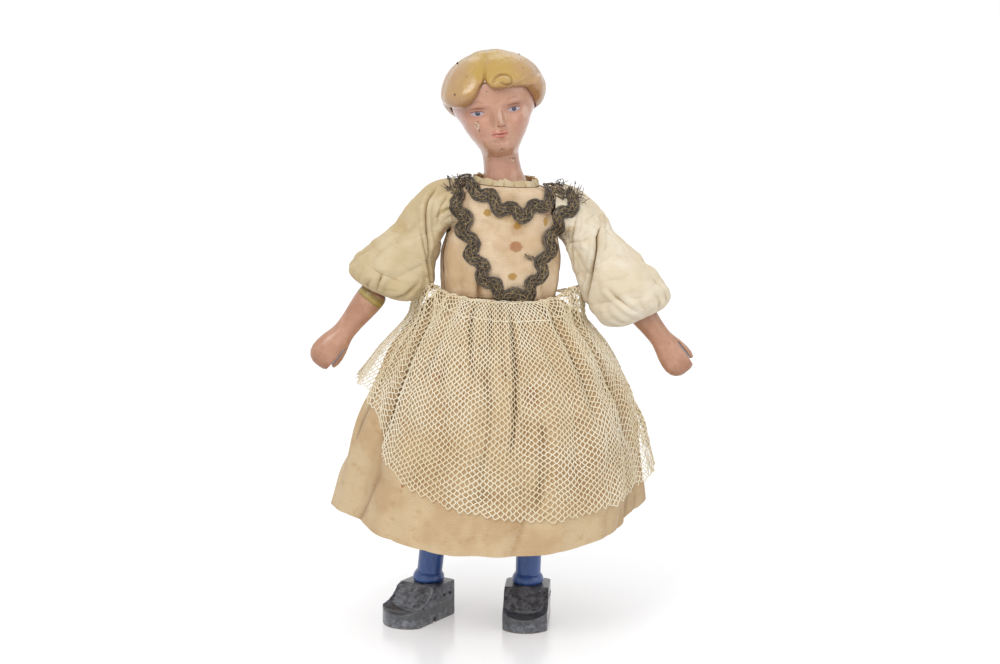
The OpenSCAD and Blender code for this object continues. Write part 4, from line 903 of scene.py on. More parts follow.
def skull(height, a):
    k = squircle(a, HEAD_POWER)
    return (through(height, HEAD, 1) * HEAD_WIDTH / 2 * k * np.cos(a),
            np.where(np.sin(a) < 0, through(height, HEAD, 2), through(height, HEAD, 3))
            * HEAD_DEPTH / 2 * k * np.sin(a))


def carving(height, a):
    """How far the face stands out of the skull."""
    across = np.cos(a)
    total = 0
    for level, place, out, wide, above, below in FACE:
        up = height - level
        total = total + out * bell(across - place, wide) * np.where(
            up > 0, bell(up, above), bell(up, below))
    return HEAD_DEPTH * total * (np.sin(a) < 0)


def head_piece(finish):
    rows, columns = 230, 300
    height = between(0, 0.995, np.linspace(0, 1, rows))[:, None]
    s = np.linspace(-1, 1, columns + 1)[None]
    a = np.radians(-90 + 180 * s * (0.36 + 0.64 * s * s))
    x, y = skull(height, a)
    points = np.stack([x, y - carving(height, a), height * HEAD_HEIGHT + 0 * a], 2)
    radii = [(-13, 0), (-13, 3.7), (-12.7, 4), (-9.15, 4), (-9.15, 2.5), (-6.85, 2.5),
             (-6.85, 4), (0.5, 4)]
    ring = np.linspace(0, 2 * math.pi, 49)[None]
    r = np.array([row[1] for row in radii])[:, None]
    z = np.array([row[0] for row in radii])[:, None]
    dowel = np.stack([r * np.cos(ring), r * np.sin(ring), z + 0 * ring], 2)
    parts = []
    for name, shape, poles in (("skull", points, (0, -1)), ("dowel", dowel, (-1,))):
        parts.append(grid(name, placed(shape, HEAD_PLACE), finish, {"local": shape},
                          poles=poles))
    made = joined("head_and_neck", parts)
    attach(made, "head")
    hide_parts("head")


def hair_lift(f, t, height):
    """Thickness of the hair, with its rolls, the parting and the curl."""
    curls = 0
    for middle, level, out, wide, high in CURLS:
        curls = curls + out * bell(f - middle, wide) * bell(height - level, high)
    round_curl = np.hypot((f - 9) / 9, (height - 0.855) / 0.034)
    turn = np.arctan2((height - 0.855) / 0.034, (f - 9) / 9)
    swirl = -0.32 * bell(round_curl - 1.0 - turn * 0.16, 0.16) * (round_curl < 1.9)
    swirl = swirl + 0.22 * bell(round_curl, 0.45)
    groove = -0.5 * bell(f + 15 - 9 * (height - 0.86), 1.5) * bell(height - 0.87, 0.045)
    ridge = (0.16 * bell(height - 0.80 - 0.0012 * (f - 40), 0.012)
             * ease(f, 22, 36) * ease(f, 80, 60))
    ridge = ridge - (0.20 * bell(height - 0.835 - 0.0010 * (f - 40), 0.014)
                     * ease(f, 20, 34) * ease(f, 84, 60))
    strands = np.sin(f * 0.55 + 3.2 * np.sin(height * 14 + 0.02 * f) + 60 * height) * 0.5 + 0.5
    groove = groove + 0.13 * crumple(f * 0.4, height * 60, 61, 13) * ease(t, 0.85, 0.4)
    carved = swirl + groove + ridge
    body = through(t, HAIR_ROLL) + np.where(t > 0, curls + carved * ease(t, 0, 0.06), 0)
    body = body - 0.035 * strands * ease(t, 0.02, 0.2)
    # Depth of the carved grooves, which the hair's finish paints with shade
    hollow = np.clip(-carved * 2.2, 0, 1)
    return HAIR_THICKNESS * body, hollow, strands


def hair_piece(finish):
    rows, columns = 120, 300
    t = (np.linspace(0, 1, rows) ** 1.5)[:, None]
    f = np.linspace(-180, 180, columns + 1)[None]
    a = np.radians(f - 90)
    height = between(through(f, HAIRLINE), HEAD[-1][0], np.sin(math.pi / 2 * t))
    lift, hollow, strands = hair_lift(f, t, height)
    x, y = skull(height, a)
    far = np.hypot(x, y)
    up = t ** 2.2
    side = np.sqrt(1 - up * up)

    def layer(out):
        return np.stack([x + x / far * out * side, y + y / far * out * side,
                         height * HEAD_HEIGHT + out * up + 0 * far], 2)

    outer, inner = layer(HAIR_FIT + lift), layer(HAIR_FIT + 0 * lift)
    shape = np.concatenate([inner[::-4][:-1], inner[:1], outer])
    count = len(shape) - rows

    def spread(values):
        return np.concatenate([np.repeat(values[:1], count, 0), values])

    marks = {"local": shape, "hollow": spread(hollow), "strands": spread(strands + 0 * far),
             "edge": spread(t + 0 * far)}
    made = grid("hair_cap", placed(shape, HEAD_PLACE), finish, marks, poles=(0, -1))
    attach(made, "head")
    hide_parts("hair")


# Dress

def bodice_at(height, f, grow):
    """Point of the bodice in the figure's frame, at a share of its height."""
    a = np.radians(f - 90)
    full = 0.35 * (1 - height) * np.cos(12 * a) + grow
    k = squircle(a, BODICE_POWER)
    deep = np.where(np.sin(a) < 0, through(height, BODICE, 2), through(height, BODICE, 3))
    return np.stack(np.broadcast_arrays(
        (through(height, BODICE, 1) * CHEST_WIDTH / 2 + full) * k * np.cos(a),
        (deep * CHEST_DEPTH / 2 + full) * k * np.sin(a), WAIST_Z + height * BODICE_RISE), axis=-1)


def bodice_relief(height, f):
    """Gathers at waist and neck, and soft creases: relief and depth of its hollows."""
    u, v = f * 0.36, height * 44
    front = bell(f, 40)
    gathers = bell(height, 0.14) * ripples(f, 21, 1.1, 4)
    gathers = gathers * 0.30 + 0.16 * bell(height - 1, 0.09) * np.cos(np.radians(f * 17))
    pull = creases(u, v, 5, 17) * 0.42 + creases(u * 1.3, v * 0.7, 8, 10) * 0.2
    dart = 0.5 * bell(f + 26, 1.6) * bell(height - 0.16, 0.16)
    dart = dart + 0.35 * bell(f - 26, 1.6) * bell(height - 0.2, 0.12)
    relief = gathers + 0.25 * crumple(u, v, 3, 15) - pull * (0.5 + 0.5 * front) - dart
    hollow = np.clip(pull * 0.7 + dart * 1.6 - gathers * 1.1, 0, 1)
    return relief, hollow


def bodice_piece(finish):
    rows, columns = 120, 260
    height = np.linspace(0, 1, rows)[:, None]
    f = np.linspace(-180, 180, columns + 1)[None]
    relief, hollow = bodice_relief(height, f)
    points = bodice_at(height, f, relief * 0.9)
    ring = np.hypot(points[..., 1], points[..., 2] - ARMHOLE_Z)
    inside = (ring < ARMHOLE_R + 0.9) & (ring > 0.1) & (np.abs(points[..., 0]) > ARMHOLE_X - 1.2)
    pulled = np.where(inside & (ring > ARMHOLE_R - 0.6), ARMHOLE_R / np.maximum(ring, 0.1), 1)
    points[..., 1] *= pulled
    points[..., 2] = ARMHOLE_Z + (points[..., 2] - ARMHOLE_Z) * pulled
    hole = (ring < ARMHOLE_R - 0.6) & (np.abs(points[..., 0]) > ARMHOLE_X - 1.2)
    # Painted shade round the armhole, where the sleeve's head meets the bodice, goes in with the
    # hollows
    near = bell(ring - ARMHOLE_R, 1.2) * (np.abs(points[..., 0]) > 12)
    cut = np.stack([f * 0.372 + 0 * height, height * 46 + 0 * f], 2)
    made = grid("bodice_cloth", placed(points, FIGURE), finish,
                {"hollow": np.clip(hollow + near * 0.5, 0, 1)}, cut, ~hole)
    thickened(made, BODICE_WALL)
    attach(made, "torso")
    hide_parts("bodice")


def frill_piece(finish):
    rows, columns = 14, 320
    t = np.linspace(0, 1, rows)[:, None]
    f = np.linspace(-180, 180, columns + 1)[None]
    a = np.radians(f - 90)
    wave = ripples(f, 16, 1.4, 3)
    ragged = 0.35 * crumple(f * 0.4, 0 * f, 17, 2.2)
    points = bodice_at(1 + 0 * f, f, t * (0.55 * wave - 0.9) - 0.15)
    points[..., 2] += CLOTH_FIT + t * (2.1 + 0.25 * np.cos(12 * a + 1.6) + ragged)
    cut = np.stack([f * 0.42 + 0 * t, 60 + t * 5 + 0 * f], 2)
    made = grid("frill_cloth", placed(points, FIGURE), finish,
                {"hollow": np.clip(-wave * 0.8, 0, 1) * (1 - t * 0.6)}, cut)
    thickened(made, FRILL_WALL)
    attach(made, "torso")
    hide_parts("neck_frill")


def front_y(x, z):
    """How far forward the bodice, or the sleeve's head beside it, reaches from the front."""
    height = (z - WAIST_Z) / BODICE_RISE
    half = through(height, BODICE, 1) * CHEST_WIDTH / 2
    deep = through(height, BODICE, 2) * CHEST_DEPTH / 2
    power = BODICE_POWER
    bodice = deep * np.maximum(1 - np.abs(x / half) ** power, 0) ** (1 / power)
    head_r = 8.7 + 0.10 * np.maximum(np.abs(x) - 18, 0)
    head = np.sqrt(np.maximum(head_r ** 2 - (z - SHOULDER_Z + 0.3) ** 2, 0))
    return -np.maximum(bodice, head * ease(np.abs(x), 12, 17))


def laid(flat, grow):
    """Points of a braid laid over bodice and sleeve head, grow outside them."""
    x, z = flat[:, 0], flat[:, 1]
    y = front_y(x, z)
    reach = 0.4
    slope_x = (front_y(x + reach, z) - front_y(x - reach, z)) / (2 * reach)
    slope_z = (front_y(x, z + reach) - front_y(x, z - reach)) / (2 * reach)
    out = np.stack([slope_x, -1 + 0 * x, slope_z], 1)
    out /= np.linalg.norm(out, axis=1)[:, None]
    return placed(np.stack([x, y, z], 1) + out * np.broadcast_to(grow, x.shape)[:, None], FIGURE)


def braid_line(table):
    """Evenly spaced points along a braid's path from the front, and their distance."""
    rows = np.array(table, float)
    count = 700
    knots = np.concatenate([[0], np.cumsum(np.hypot(*np.diff(rows, axis=0).T))])
    t = np.linspace(0, knots[-1], count)
    flat = np.stack([through(t, np.stack([knots, rows[:, k]], 1)) for k in range(2)], 1)
    for _ in range(300):
        flat[1:-1] = (flat[:-2] + 2 * flat[1:-1] + flat[2:]) / 4
    along = np.concatenate([[0], np.cumsum(np.hypot(*np.diff(flat, axis=0).T))])
    even = np.linspace(0, along[-1], count)
    return np.stack([np.interp(even, along, flat[:, k]) for k in range(2)], 1), even


def across_line(flat):
    """Unit steps square to a line, to its left."""
    way = np.gradient(flat, axis=0)
    way /= np.linalg.norm(way, axis=1)[:, None]
    return np.stack([-way[:, 1], way[:, 0]], 1)


def laid_cords(name, paths, radius, finish, sides, along):
    """Cords along paths, marked with the distance along each."""
    points, edges = lines(paths)
    return corded(name, points, edges, radius, finish, sides,
                  marks={"along": np.resize(along, len(points))})


def braid_pieces(table, name, node, finishes, seed, scraps=()):
    """Scroll gimp: parallel cords that wave from side to side, gold threads and frayed ends."""
    gimp, gold = finishes
    draw = np.random.default_rng(seed)
    line, along = braid_line(table)
    wave = line + across_line(line) * (
        SCROLL_SWING * np.sin(along * 2 * math.pi / SCROLL_PITCH))[:, None]
    side = across_line(wave)
    cords = []
    for place in CORDS_AT:
        wander = 0.13 * np.sin(along * 1.7 + place * 9) + 0.09 * np.sin(along * 4.1 + place * 5)
        rise = CLOTH_FIT + 0.45 + 0.18 * math.cos(place * 0.8) + 0.07 * np.sin(along * 2.3 + place)
        cords.append(laid(wave + side * (place + wander)[:, None], rise))
    body = laid_cords(name, cords, CORD_R, gimp, 8, along)
    threads = []
    for place in GOLD_AT:
        weave = place + 0.45 * np.sin(along * 2.6 + place * 4)
        threads.append(laid(wave + side * weave[:, None], CLOTH_FIT + 1.0))
    shine = laid_cords(name + "_gold", threads, GOLD_R, gold, 5, along)
    frays = []
    for end, near in ((0, 8), (-1, -9)):
        way = line[end] - line[near]
        way /= np.linalg.norm(way)
        for _ in range(26):
            start = line[end] + across_line(line)[end] * draw.uniform(-2.8, 2.8)
            reach, lean = draw.uniform(1.5, 4.6), draw.uniform(-0.9, 0.9)
            curl = draw.uniform(-2.2, 2.2)
            s = np.linspace(0, 1, 9)
            turn = lean + curl * s * 0.8
            run = np.stack([np.cos(turn) * way[0] - np.sin(turn) * way[1],
                            np.sin(turn) * way[0] + np.cos(turn) * way[1]], 1)
            flat = start - way * 0.9 + np.cumsum(run, 0) * reach / 9
            frays.append(laid(flat, CLOTH_FIT + 0.5 + 1.1 * s * draw.uniform(0.2, 1.6)))
    for across, height in scraps:
        s = np.linspace(-1, 1, 16)
        for _ in range(5):
            high, phase, size = draw.uniform(0.4, 0.9), draw.uniform(0, 6.3), draw.uniform(1.2, 2.4)
            flat = np.stack([across + s * size, height - s * 0.5 + high * np.sin(s * 5 + phase)], 1)
            frays.append(laid(flat, 0.35 + 0.25 * draw.uniform(0, 1)))
    ends = laid_cords(name + "_ends", frays, FRAY_R, gimp, 4, [0])
    for made in (body, shine, ends):
        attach(made, "torso")
    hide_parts(node)


def pleats(t, f):
    """Sharp pleats that the photograph shows, each from one place to another down the skirt."""
    total = 0
    for f_top, t_top, f_low, t_low, deep, wide in PLEATS:
        middle = between(f_top, f_low, (t - t_top) / (t_low - t_top))
        away = (f - middle) * (0.38 + 0.55 * t)
        window = ease(t, t_top - 0.03, t_top + 0.06) * ease(t, t_low + 0.05, t_low - 0.12)
        total = total + deep * window * furrow(away, wide, 0.35, 2.2)
    return total


def folds(f):
    """Broad folds at the skirt's hem."""
    total = 0
    for middle, out, wide in FOLDS:
        total = total + out * (bell(f - middle, wide) + bell(f - middle + 360, wide)
                               + bell(f - middle - 360, wide))
    return FOLD_DEPTH * total


def skirt_relief(t, f):
    """Gathers below the waist and creases of the hanging cloth: relief, hollows."""
    ripple = np.cos(np.radians(f * 34) + 1.5 * np.sin(np.radians(f * 5))
                    + 0.8 * np.sin(np.radians(f * 11)))
    fade = np.exp(-t / 0.22) * ease(t, -0.02, 0.05)
    gathers = 0.75 * ripple * fade
    u, v = f * between(0.75, 1.0, t), t * 84
    pull = creases(u * 1.2, v * 0.55, 21, 26) * 0.7 * ease(t, 0.05, 0.3)
    soft = 0.5 * crumple(u, v, 24, 22) * ease(t, 0.05, 0.4)
    tucks = pleats(t, f)
    hollow = np.clip(tucks * 0.8 - gathers * 1.5 + pull * 0.5
                     - folds(f) / FOLD_DEPTH * 0.35 * ease(t, 0, 0.4), 0, 1)
    return gathers + soft - pull - tucks, hollow


def skirt_at(t, f, grow):
    """Point of the skirt in the room, with its relief."""
    a = np.radians(f - 90)
    relief, hollow = skirt_relief(t, f)
    waist = placed(bodice_at(np.zeros_like(f), f, grow) - np.array([0, 0, CLOTH_FIT]), FIGURE)
    fold = folds(f) + grow
    hem_x = STANCE_X + (HEM_Z - SHOE_HEIGHT) * math.sin(math.radians(LEAN)) + HEM_SHIFT
    s = through(t, FLARE)
    low = HEM_Z - HEM_DIP * np.maximum(np.cos(np.radians(f)), 0) ** 2
    x = between(waist[..., 0], hem_x + (HEM_WIDTH / 2 + fold) * np.cos(a), s)
    y = between(waist[..., 1], (HEM_DEPTH / 2 + fold) * np.sin(a), s)
    out = relief * ease(t, -0.05, 0.04)
    return np.stack([x + SKIRT_SWAY * np.sin(math.pi * t) + out * np.cos(a),
                     y + out * np.sin(a), between(waist[..., 2], low, t) + 0 * s], -1), hollow


def skirt_cut(t, f):
    """Place on the flat skirt: narrower at the waist, where it is gathered."""
    return np.stack([f / 360 * between(250, 372, t), -t * 86 + 0 * f], -1)


# How far from the doll's middle the cloth's laps and sides start, in mm
LAP_AT, SIDE_AT = 8, 24
SPLITS = (-SIDE_AT, -LAP_AT, 0, LAP_AT, SIDE_AT)


def front_planes(made):
    """Splits the cloth at the doll's middle, beside its legs and between front and back."""
    whole = bmesh.new()
    whole.from_mesh(made.data)
    side = Vector(FIGURE[:3, 0])
    planes = [(Vector(FIGURE[:3, 3] * MM) + side * x * MM, side) for x in SPLITS]
    for point, way in planes + [((0, 0, 0), (0, 1, 0))]:
        bmesh.ops.bisect_plane(whole, geom=whole.verts[:] + whole.edges[:] + whole.faces[:],
                               dist=1e-7, plane_co=point, plane_no=way)
    return whole


def cell_of(point):
    """Name of the part of the skirt that holds a point in the room, in millimetres."""
    local = np.linalg.inv(FIGURE)[:3, :3] @ (point - FIGURE[:3, 3])
    x = abs(local[0])
    if local[1] > 0:
        return "back"
    where = "middle" if x < LAP_AT else "lap" if x < SIDE_AT else "side"
    return ("left_" if local[0] > 0 else "right_") + where


CELLS = ["back"] + [side + "_" + part for side in ("right", "left")
                    for part in ("middle", "lap", "side")]
# Share of the hip's turn worked out for the skirt, which is not used: per mm forward, per mm down,
# and less
TURN_FORWARD, TURN_DOWN, TURN_LESS = 0.0373, -0.0103, 0.745
MIDDLE_HOLD, LAP_GAIN, SIDE_LOSS = 0.62, 0.014, 0.02


def hang(made, cell):
    """The back cell moves with the trunk; any other cell stays where it stands, and the share of
    the hip's turn worked out for it is not used.
    """
    if cell == "back":
        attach(made, "torso")
        return
    side = LEFT if cell.startswith("left") else RIGHT
    x_share, start = {
        "middle": (MIDDLE_HOLD / LAP_AT, -MIDDLE_HOLD), "lap": (LAP_GAIN, -LAP_AT * LAP_GAIN),
        "side": (-SIDE_LOSS, (SIDE_AT - LAP_AT) * LAP_GAIN + SIDE_AT * SIDE_LOSS)
    }[cell.split("_")[1]]
    local = np.array([side * x_share, -TURN_FORWARD, -TURN_DOWN])
    steady = start - TURN_LESS + TURN_DOWN * HIP_Z
    slope = FIGURE[:3, :3] @ local / MM
    level = steady - slope @ FIGURE[:3, 3] * MM
    d = slope / (slope @ slope)
    first = -level * d
    tuple(first + d)
    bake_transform(made)


def flat_size(mesh):
    """Width, length and area of a cell on the flat cloth, in metres."""
    uv = np.empty(len(mesh.loops) * 2)
    mesh.uv_layers["cut"].data.foreach_get("uv", uv)
    uv = uv.reshape(-1, 2)
    area = 0
    for face in mesh.polygons:
        ring = uv[list(face.loop_indices)]
        area += abs(np.dot(ring[:, 0], np.roll(ring[:, 1], -1))
                    - np.dot(ring[:, 1], np.roll(ring[:, 0], -1))) / 2
    width, length = (uv.max(0) - uv.min(0)) * MM
    return width, length, area * MM * MM


def skirt_pieces(finish):
    rows, columns = 110, 400
    t = np.linspace(0, 1, rows)[::-1, None]
    f = np.linspace(-180, 180, columns + 1)[None]
    points, hollow = skirt_at(t + 0 * f, f + 0 * t, 0)
    whole = grid("skirt_cloth", points, finish, {"hollow": hollow}, skirt_cut(t, f))
    split = front_planes(whole)
    bpy.data.objects.remove(whole)
    split.faces.ensure_lookup_table()
    cells = {}
    for face in split.faces:
        cells.setdefault(cell_of(np.array(face.calc_center_median()) / MM), []).append(face.index)
    for cell in CELLS:
        part = split.copy()
        part.faces.ensure_lookup_table()
        kept = set(cells[cell])
        bmesh.ops.delete(part, geom=[face for face in part.faces if face.index not in kept],
                         context="FACES")
        mesh = bpy.data.meshes.new("skirt_" + cell)
        part.to_mesh(mesh)
        part.free()
        made = coated(linked("skirt_" + cell, mesh), finish)
        width, length, area = flat_size(mesh)
        thickened(made, SKIRT_WALL)
        hang(made, cell)
        min(max(area, 0.31 * width * length), width * length)
        if cell == "back":
            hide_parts("skirt")
    split.free()


# How far the net's gathered top stands above the waist at the sides, in mm
HEADING_RISE = 6.5


def apron_at(down, f, grow):
    """Point of the apron at a share of its length below the waist."""
    t = between(0.0, through(f, APRON_EDGE), down)
    off = down * down * (APRON_FLARE * bell(f - 92, 22) + APRON_FLAP * bell(f - APRON_START, 18))
    off = off + WAIST_PUFF * bell(t - 0.05, 0.035) * (bell(f - 84, 14) + 0.8 * bell(f + 84, 12)
                                                     + 0.12 * np.cos(np.radians(f * 23)))
    sides = bell(f - 76, 26) + 0.9 * bell(f + 76, 26)
    points = skirt_at(t, f, APRON_GAP + off + sides * 1.6 * bell(t - 0.03, 0.03) + grow)[0]
    points[..., 2] += HEADING_RISE * sides * bell(t - 0.045, 0.028) * (
        1 + 0.25 * np.cos(np.radians(f * 31)))
    return points


def apron_length(f, steps):
    """Length of the net from the waist down to each share, at an angle, in millimetres."""
    down = np.linspace(0, 1, steps)
    points = apron_at(down, np.full(steps, float(f)), 0.25)
    return np.concatenate([[0], np.cumsum(np.linalg.norm(np.diff(points, axis=0), axis=1))])


NET_WIDTH = 236.0
# Width and height of a hexagon, length of its short side, radius and sides of a thread
NET_COLUMN, NET_ROW, NET_BAR, NET_THREAD, NET_SIDES = 1.62, 2.16, 0.46, 0.2, 5


def net_cells(wide, tall):
    """Flat net of hexagons: its knots and threads."""
    knots, threads = {}, set()

    def knot(x, y):
        return knots.setdefault((round(x * 100), round(y * 100)), len(knots))

    for column in range(int(wide / NET_COLUMN) + 1):
        for row in range(int(tall / NET_ROW) + 2):
            x = (column + 0.5) * NET_COLUMN
            y = (row + 0.5 * (column % 2)) * NET_ROW
            out, bar = NET_COLUMN - NET_BAR / 2, NET_BAR / 2
            ring = [knot(x + dx, y + dy) for dx, dy in (
                (out, 0), (bar, NET_ROW / 2), (-bar, NET_ROW / 2),
                (-out, 0), (-bar, -NET_ROW / 2), (bar, -NET_ROW / 2))]
            threads.update(tuple(sorted((ring[n], ring[(n + 1) % 6]))) for n in range(6))
    return np.array(list(knots)) * 0.01, np.array(sorted(threads))


def net_pieces(finish):
    """Hexagonal net, laid flat and then hung on the skirt."""
    steps = 40
    angles = np.linspace(APRON_START, APRON_END, 56)
    run = np.stack([apron_length(f, steps) for f in angles])
    flat, edges = net_cells(NET_WIDTH, run[:, -1].max())
    draw = np.random.default_rng(31)
    flat = flat + draw.normal(0, 0.09, flat.shape)
    flat[:, 0] += 0.7 * crumple(flat[:, 0], flat[:, 1], 33, 24)
    flat[:, 1] += 0.7 * crumple(flat[:, 0], flat[:, 1], 34, 20)
    f = between(APRON_START, APRON_END, flat[:, 0] / NET_WIDTH)
    row = np.clip((f - APRON_START) / (APRON_END - APRON_START) * 55, 0, 54.999)
    low, rest = row.astype(int), row % 1
    lengths = run[low] * (1 - rest)[:, None] + run[low + 1] * rest[:, None]
    shares = np.linspace(0, 1, steps)
    down = np.array([np.interp(y, length, shares, left=-1, right=2)
                     for y, length in zip(flat[:, 1], lengths)])
    good = (down >= 0) & (down <= 1) & (f >= APRON_START) & (f <= APRON_END)
    edges = edges[good[edges].all(1)]
    rise = 0.25 + 0.12 * draw.normal(0, 1, len(f)).clip(-1.5, 1.5)
    points = apron_at(np.clip(down, 0, 1), np.clip(f, APRON_START, APRON_END), rise)
    border, border_flat = [], []
    round_waist = np.linspace(APRON_START, APRON_END, 700)
    arcs = 0.006 * np.abs(np.sin(np.radians(round_waist * 9 + 30 * np.sin(round_waist / 17))))
    for s, share, lift in ((round_waist, arcs, 0.5), (round_waist, arcs + 0.006, 0.75),
                           (round_waist, 0.085 + arcs * 0.6, 0.45),
                           (np.full(110, APRON_START), np.linspace(0, 1, 110), 0.25),
                           (np.full(110, APRON_END), np.linspace(0, 1, 110), 0.25)):
        border.append(apron_at(share * 0.997, s, lift + 0.2 * np.sin(s * 1.3 + share * 60)))
        border_flat.append(np.stack([(s - APRON_START) / (APRON_END - APRON_START) * NET_WIDTH,
                                     share * np.interp(s, angles, run[:, -1])], 1))
    hem, hem_edges = lines(border)
    edges = np.vstack([edges, np.array(hem_edges) + len(points)])
    points = np.hstack([np.vstack([points, hem]), np.vstack([flat, *border_flat])])
    points, edges = split_edges(points, edges)
    cells = np.array([cell_of(p) for p in points[edges][:, :, :3].mean(1)])
    around = 2 * NET_THREAD * NET_SIDES * math.sin(math.pi / NET_SIDES)
    for cell in CELLS:
        used, own = np.unique(edges[cells == cell], return_inverse=True)
        own, part = own.reshape(-1, 2), points[used]
        made = corded("net_" + cell, part[:, :3], own, NET_THREAD, finish, NET_SIDES, ends=False)
        hang(made, cell)
        part[:, 3] = (part[:, 3] + NET_WIDTH * 0.5) % NET_WIDTH if cell == "back" else part[:, 3]
        size = np.ptp(part[:, 3:], axis=0)
        cloth = np.linalg.norm(part[own[:, 0], 3:] - part[own[:, 1], 3:], axis=1).sum() * around
        area = min(max(cloth / (size[0] * size[1]), 0.301), 1) * size[0] * size[1]
        area * MM * MM
        if cell == "back":
            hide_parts("net_apron")


def split_edges(points, edges):
    """Splits the threads that cross a plane where the skirt is split."""
    back = np.linalg.inv(FIGURE)
    for axis, level in (*((0, x) for x in SPLITS), (1, 0)):
        local = placed(points[:, :3], back)[:, axis] - level
        a, b = local[edges[:, 0]], local[edges[:, 1]]
        crossing = a * b < 0
        share = (a / np.where(crossing, a - b, 1))[crossing][:, None]
        ends = points[edges[crossing]]
        fresh = ends[:, 0] + (ends[:, 1] - ends[:, 0]) * share
        index = len(points) + np.arange(len(fresh))
        points = np.vstack([points, fresh])
        first = np.stack([edges[crossing][:, 0], index], 1)
        second = np.stack([index, edges[crossing][:, 1]], 1)
        edges = np.vstack([edges[~crossing], first, second])
    return points, edges


def sleeve_middle(side, u):
    """Middle of the sleeve and its heading, sideways and up from the shoulder."""
    lean = math.radians(ARM_ANGLE[side])
    way = np.array([math.sin(lean), -math.cos(lean)])
    v = np.minimum(u, 1)[..., None]
    far = np.maximum(u - 1, 0)[..., None]
    start, bend, reach = np.array([-3.0, 0]), np.array([3.5, 0]), 14
    middle = (start * (1 - v) ** 2 + bend * 2 * v * (1 - v) + way * reach * v * v
              + way * far * (SLEEVE_LENGTH[side] - reach)
              + np.array([0, -1.2]) * bell(u - 1.6, 0.25)[..., None])
    heading = (bend - start) * (1 - v) + (way * reach - bend) * v
    return middle, heading / np.linalg.norm(heading, axis=-1, keepdims=True)


def sleeve_piece(side, finish):
    rows, columns = 150, 220
    u = between(-0.12, 2.0, np.linspace(0, 1, rows))[:, None]
    turn = np.linspace(0, 2 * math.pi, columns + 1)[None]
    middle, way = sleeve_middle(side, np.maximum(u, 0))
    middle[..., 0] += np.minimum(u, 0) * 9
    r = through(u, SLEEVE) * SLEEVE_R
    press = 1 - 0.26 * bell(u - 0.8, 0.4) * np.maximum(-np.sin(turn), 0) ** 1.5
    along = u * SLEEVE_LENGTH[side] * 0.72
    around = turn * SLEEVE_R
    seed = 40 + side
    gathers = 0.45 * bell(u - 1.93, 0.09) * np.cos(turn * 15 + 1.6 * np.sin(turn * 3))
    gathers = gathers + 0.3 * bell(u - 0.2, 0.2) * np.cos(turn * 17 + np.sin(turn * 4))
    rings = creases(around * 0.35, along, seed, 8.5) * 0.32 * ease(u, 0.25, 0.7)
    sags = creases(around * 0.6 + along * 0.5, along * 0.8, seed + 7, 19) * 0.65 * ease(u, 0.4, 0.9)
    soft = 0.6 * crumple(around, along, seed + 3, 17) * ease(u, 0.2, 0.7)
    soft = soft + 0.22 * crumple(around, along, seed + 5, 6) * ease(u, 0.2, 0.7)
    closing = ease(u, 2.0, 1.85)
    wave = 0.4 * np.sin(math.pi / 2 * np.minimum(u, 2 - u * 0.5)) * np.cos(7 * turn) * closing
    deep = 0
    for u_top, turn_top, u_low, turn_low, depth, wide in SLEEVE_FOLDS[side]:
        line = between(turn_top, turn_low, np.clip((u - u_top) / (u_low - u_top), -0.2, 1.2))
        away = ((turn - line + math.pi) % (2 * math.pi) - math.pi) * r
        window = ease(u, u_top - 0.06, u_top + 0.15) * ease(u, u_low + 0.1, u_low - 0.15)
        deep = deep + 1.3 * depth * window * furrow(away, wide, 0.4, 2)
    relief = gathers + soft + wave - (rings + sags + deep) * closing
    full = r * press + relief
    points = np.stack([middle[..., 0] - way[..., 1] * full * np.sin(turn), full * np.cos(turn),
                       middle[..., 1] + way[..., 0] * full * np.sin(turn)], 2)
    points[..., 0] *= side
    hollow = np.clip(rings * 0.55 + sags * 0.5 + deep * 0.6 - gathers * 1.0, 0, 1)
    cut = np.stack([np.degrees(turn) / 360 * 92 + 0 * u,
                    -u * SLEEVE_LENGTH[side] * 0.78 + 0 * turn], 2)
    if side == RIGHT:
        points, cut, hollow = points[:, ::-1], cut[:, ::-1], hollow[:, ::-1]
    name = SIDES[side]
    parted = int(np.searchsorted(u[:, 0], SLEEVE_PARTED))
    joint = math.radians(ARM_ANGLE[side])
    heading = np.array([side * math.sin(joint), 0, -math.cos(joint)])
    for part, span, share, fill, bodies, ends, kept in (
            ("_sleeve_cloth", slice(0, parted + 1), 0.56, 0.9, ("_shoulder", "_upper_arm"),
             [[-3.0 * side, 0, 0], [side * 9.0, 0, -12.0]], name + "_upper_arm"),
            ("_cuff_cloth", slice(parted, None), 0.64, 1, ("_upper_arm", "_forearm"),
             [heading * reach for reach in ELBOW_BEND[side]], name + "_sleeve_cloth")):
        made = grid(name + part, placed(points[span][::-1], SHOULDER[side]), finish,
                    {"hollow": hollow[span][::-1]}, cut[span][::-1])
        thickened(made, SLEEVE_WALL)
        start, end = placed(np.array(ends), SHOULDER[side]) * MM
        name + bodies[0]
        name + bodies[1]
        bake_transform(made)
        if part == "_sleeve_cloth":
            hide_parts(name + "_sleeve")
        length = SLEEVE_LENGTH[side] * share * MM
        0.085 * length * fill


# Limbs

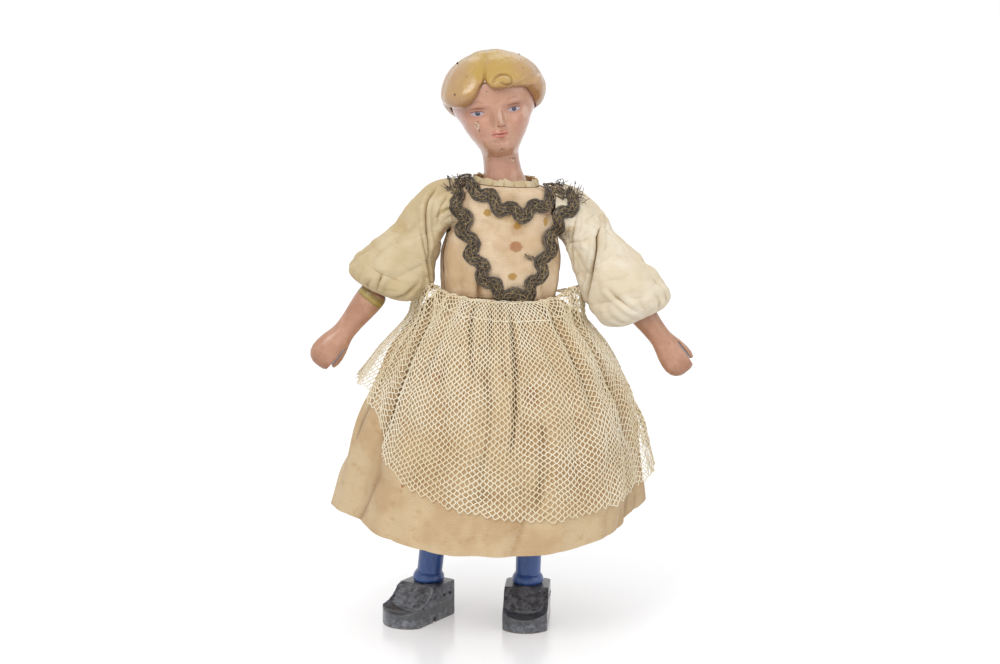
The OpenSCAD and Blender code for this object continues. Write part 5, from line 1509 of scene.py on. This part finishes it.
def shoe_slope(side):
    """Corners of the flat slope from the instep to the toe."""
    place = (moved(STANCE_X + side * FOOT_SPACING / 2 / math.cos(math.radians(LEAN)),
                   FOOT_BACK[side], 0) @ turned("Z", side * TOE_OUT[side]))
    side_view = [(-3.0, 12.6), (-6.4, 12.9), (-14.4, 6.3), (-14.4, 2.0), (-3.0, 2.0)]
    return placed(np.array([(x, y, z) for x in (-8.1, 8.1) for y, z in side_view]), place)


def limbs():
    shoe, stocking, wood, iron = shoe_finish(), stocking_finish(), wood_finish(), iron_finish()
    for side, name in SIDES.items():
        for node, finish, slot, fill in (("forearm", hand_finish(side), "flesh_paint", ()),
                                         ("shoe", shoe, "shoe_paint", shoe_slope(side))):
            made = softened(f"{name}_{node}", f"{name}_{node}_carved", finish, fill)
            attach(made, f"{name}_{node}")
            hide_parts(f"{name}_{node}")
        coat(f"{name}_shin", stocking)
        coat(f"{name}_shoe_brads", iron)
        for node in ("shoulder_ball", "shoulder_peg", "upper_arm", "elbow_peg", "thigh",
                     "knee_peg"):
            coat(f"{name}_{node}", wood)
    for node in ("torso_block", "neck_lock_peg", "shoulder_lock_pegs", "hip_peg"):
        coat(node, wood)
    coat("hair_pins", iron)


def coat(node, finish):
    """Gives a CAD node that stays in view its material."""
    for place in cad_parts[node].material_slots:
        place.material = finish


camera_and_lights()
floor()
head_piece(face_finish())
hair_piece(hair_finish())
limbs()
sleeve_cloths = {RIGHT: muslin_finish("old_muslin", OLD, 0.35, SLEEVE_SPOTS[RIGHT]),
                 LEFT: muslin_finish("muslin", CREAM, 0.35, SLEEVE_SPOTS[LEFT])}
bodice_piece(muslin_finish("bodice_muslin", LINING, 0.35, BODICE_SPOTS))
frill_piece(sleeve_cloths[RIGHT])
trim = (gimp_finish("gimp", paint(50, 44, 40), paint(116, 102, 86)),
        gimp_finish("gold_thread", paint(110, 88, 56), paint(206, 178, 118)))
braid_pieces(NECKLINE, "neckline_gimp", "neckline_braid", trim, 51)
braid_pieces(FRONT_BRAID, "front_gimp", "front_braid", trim, 52, [(8.2, 138.1)])
skirt_pieces(muslin_finish("skirt_muslin", TAN, 0.5, SKIRT_SPOTS))
net_pieces(net_finish())
for arm in SIDES:
    sleeve_piece(arm, sleeve_cloths[arm])
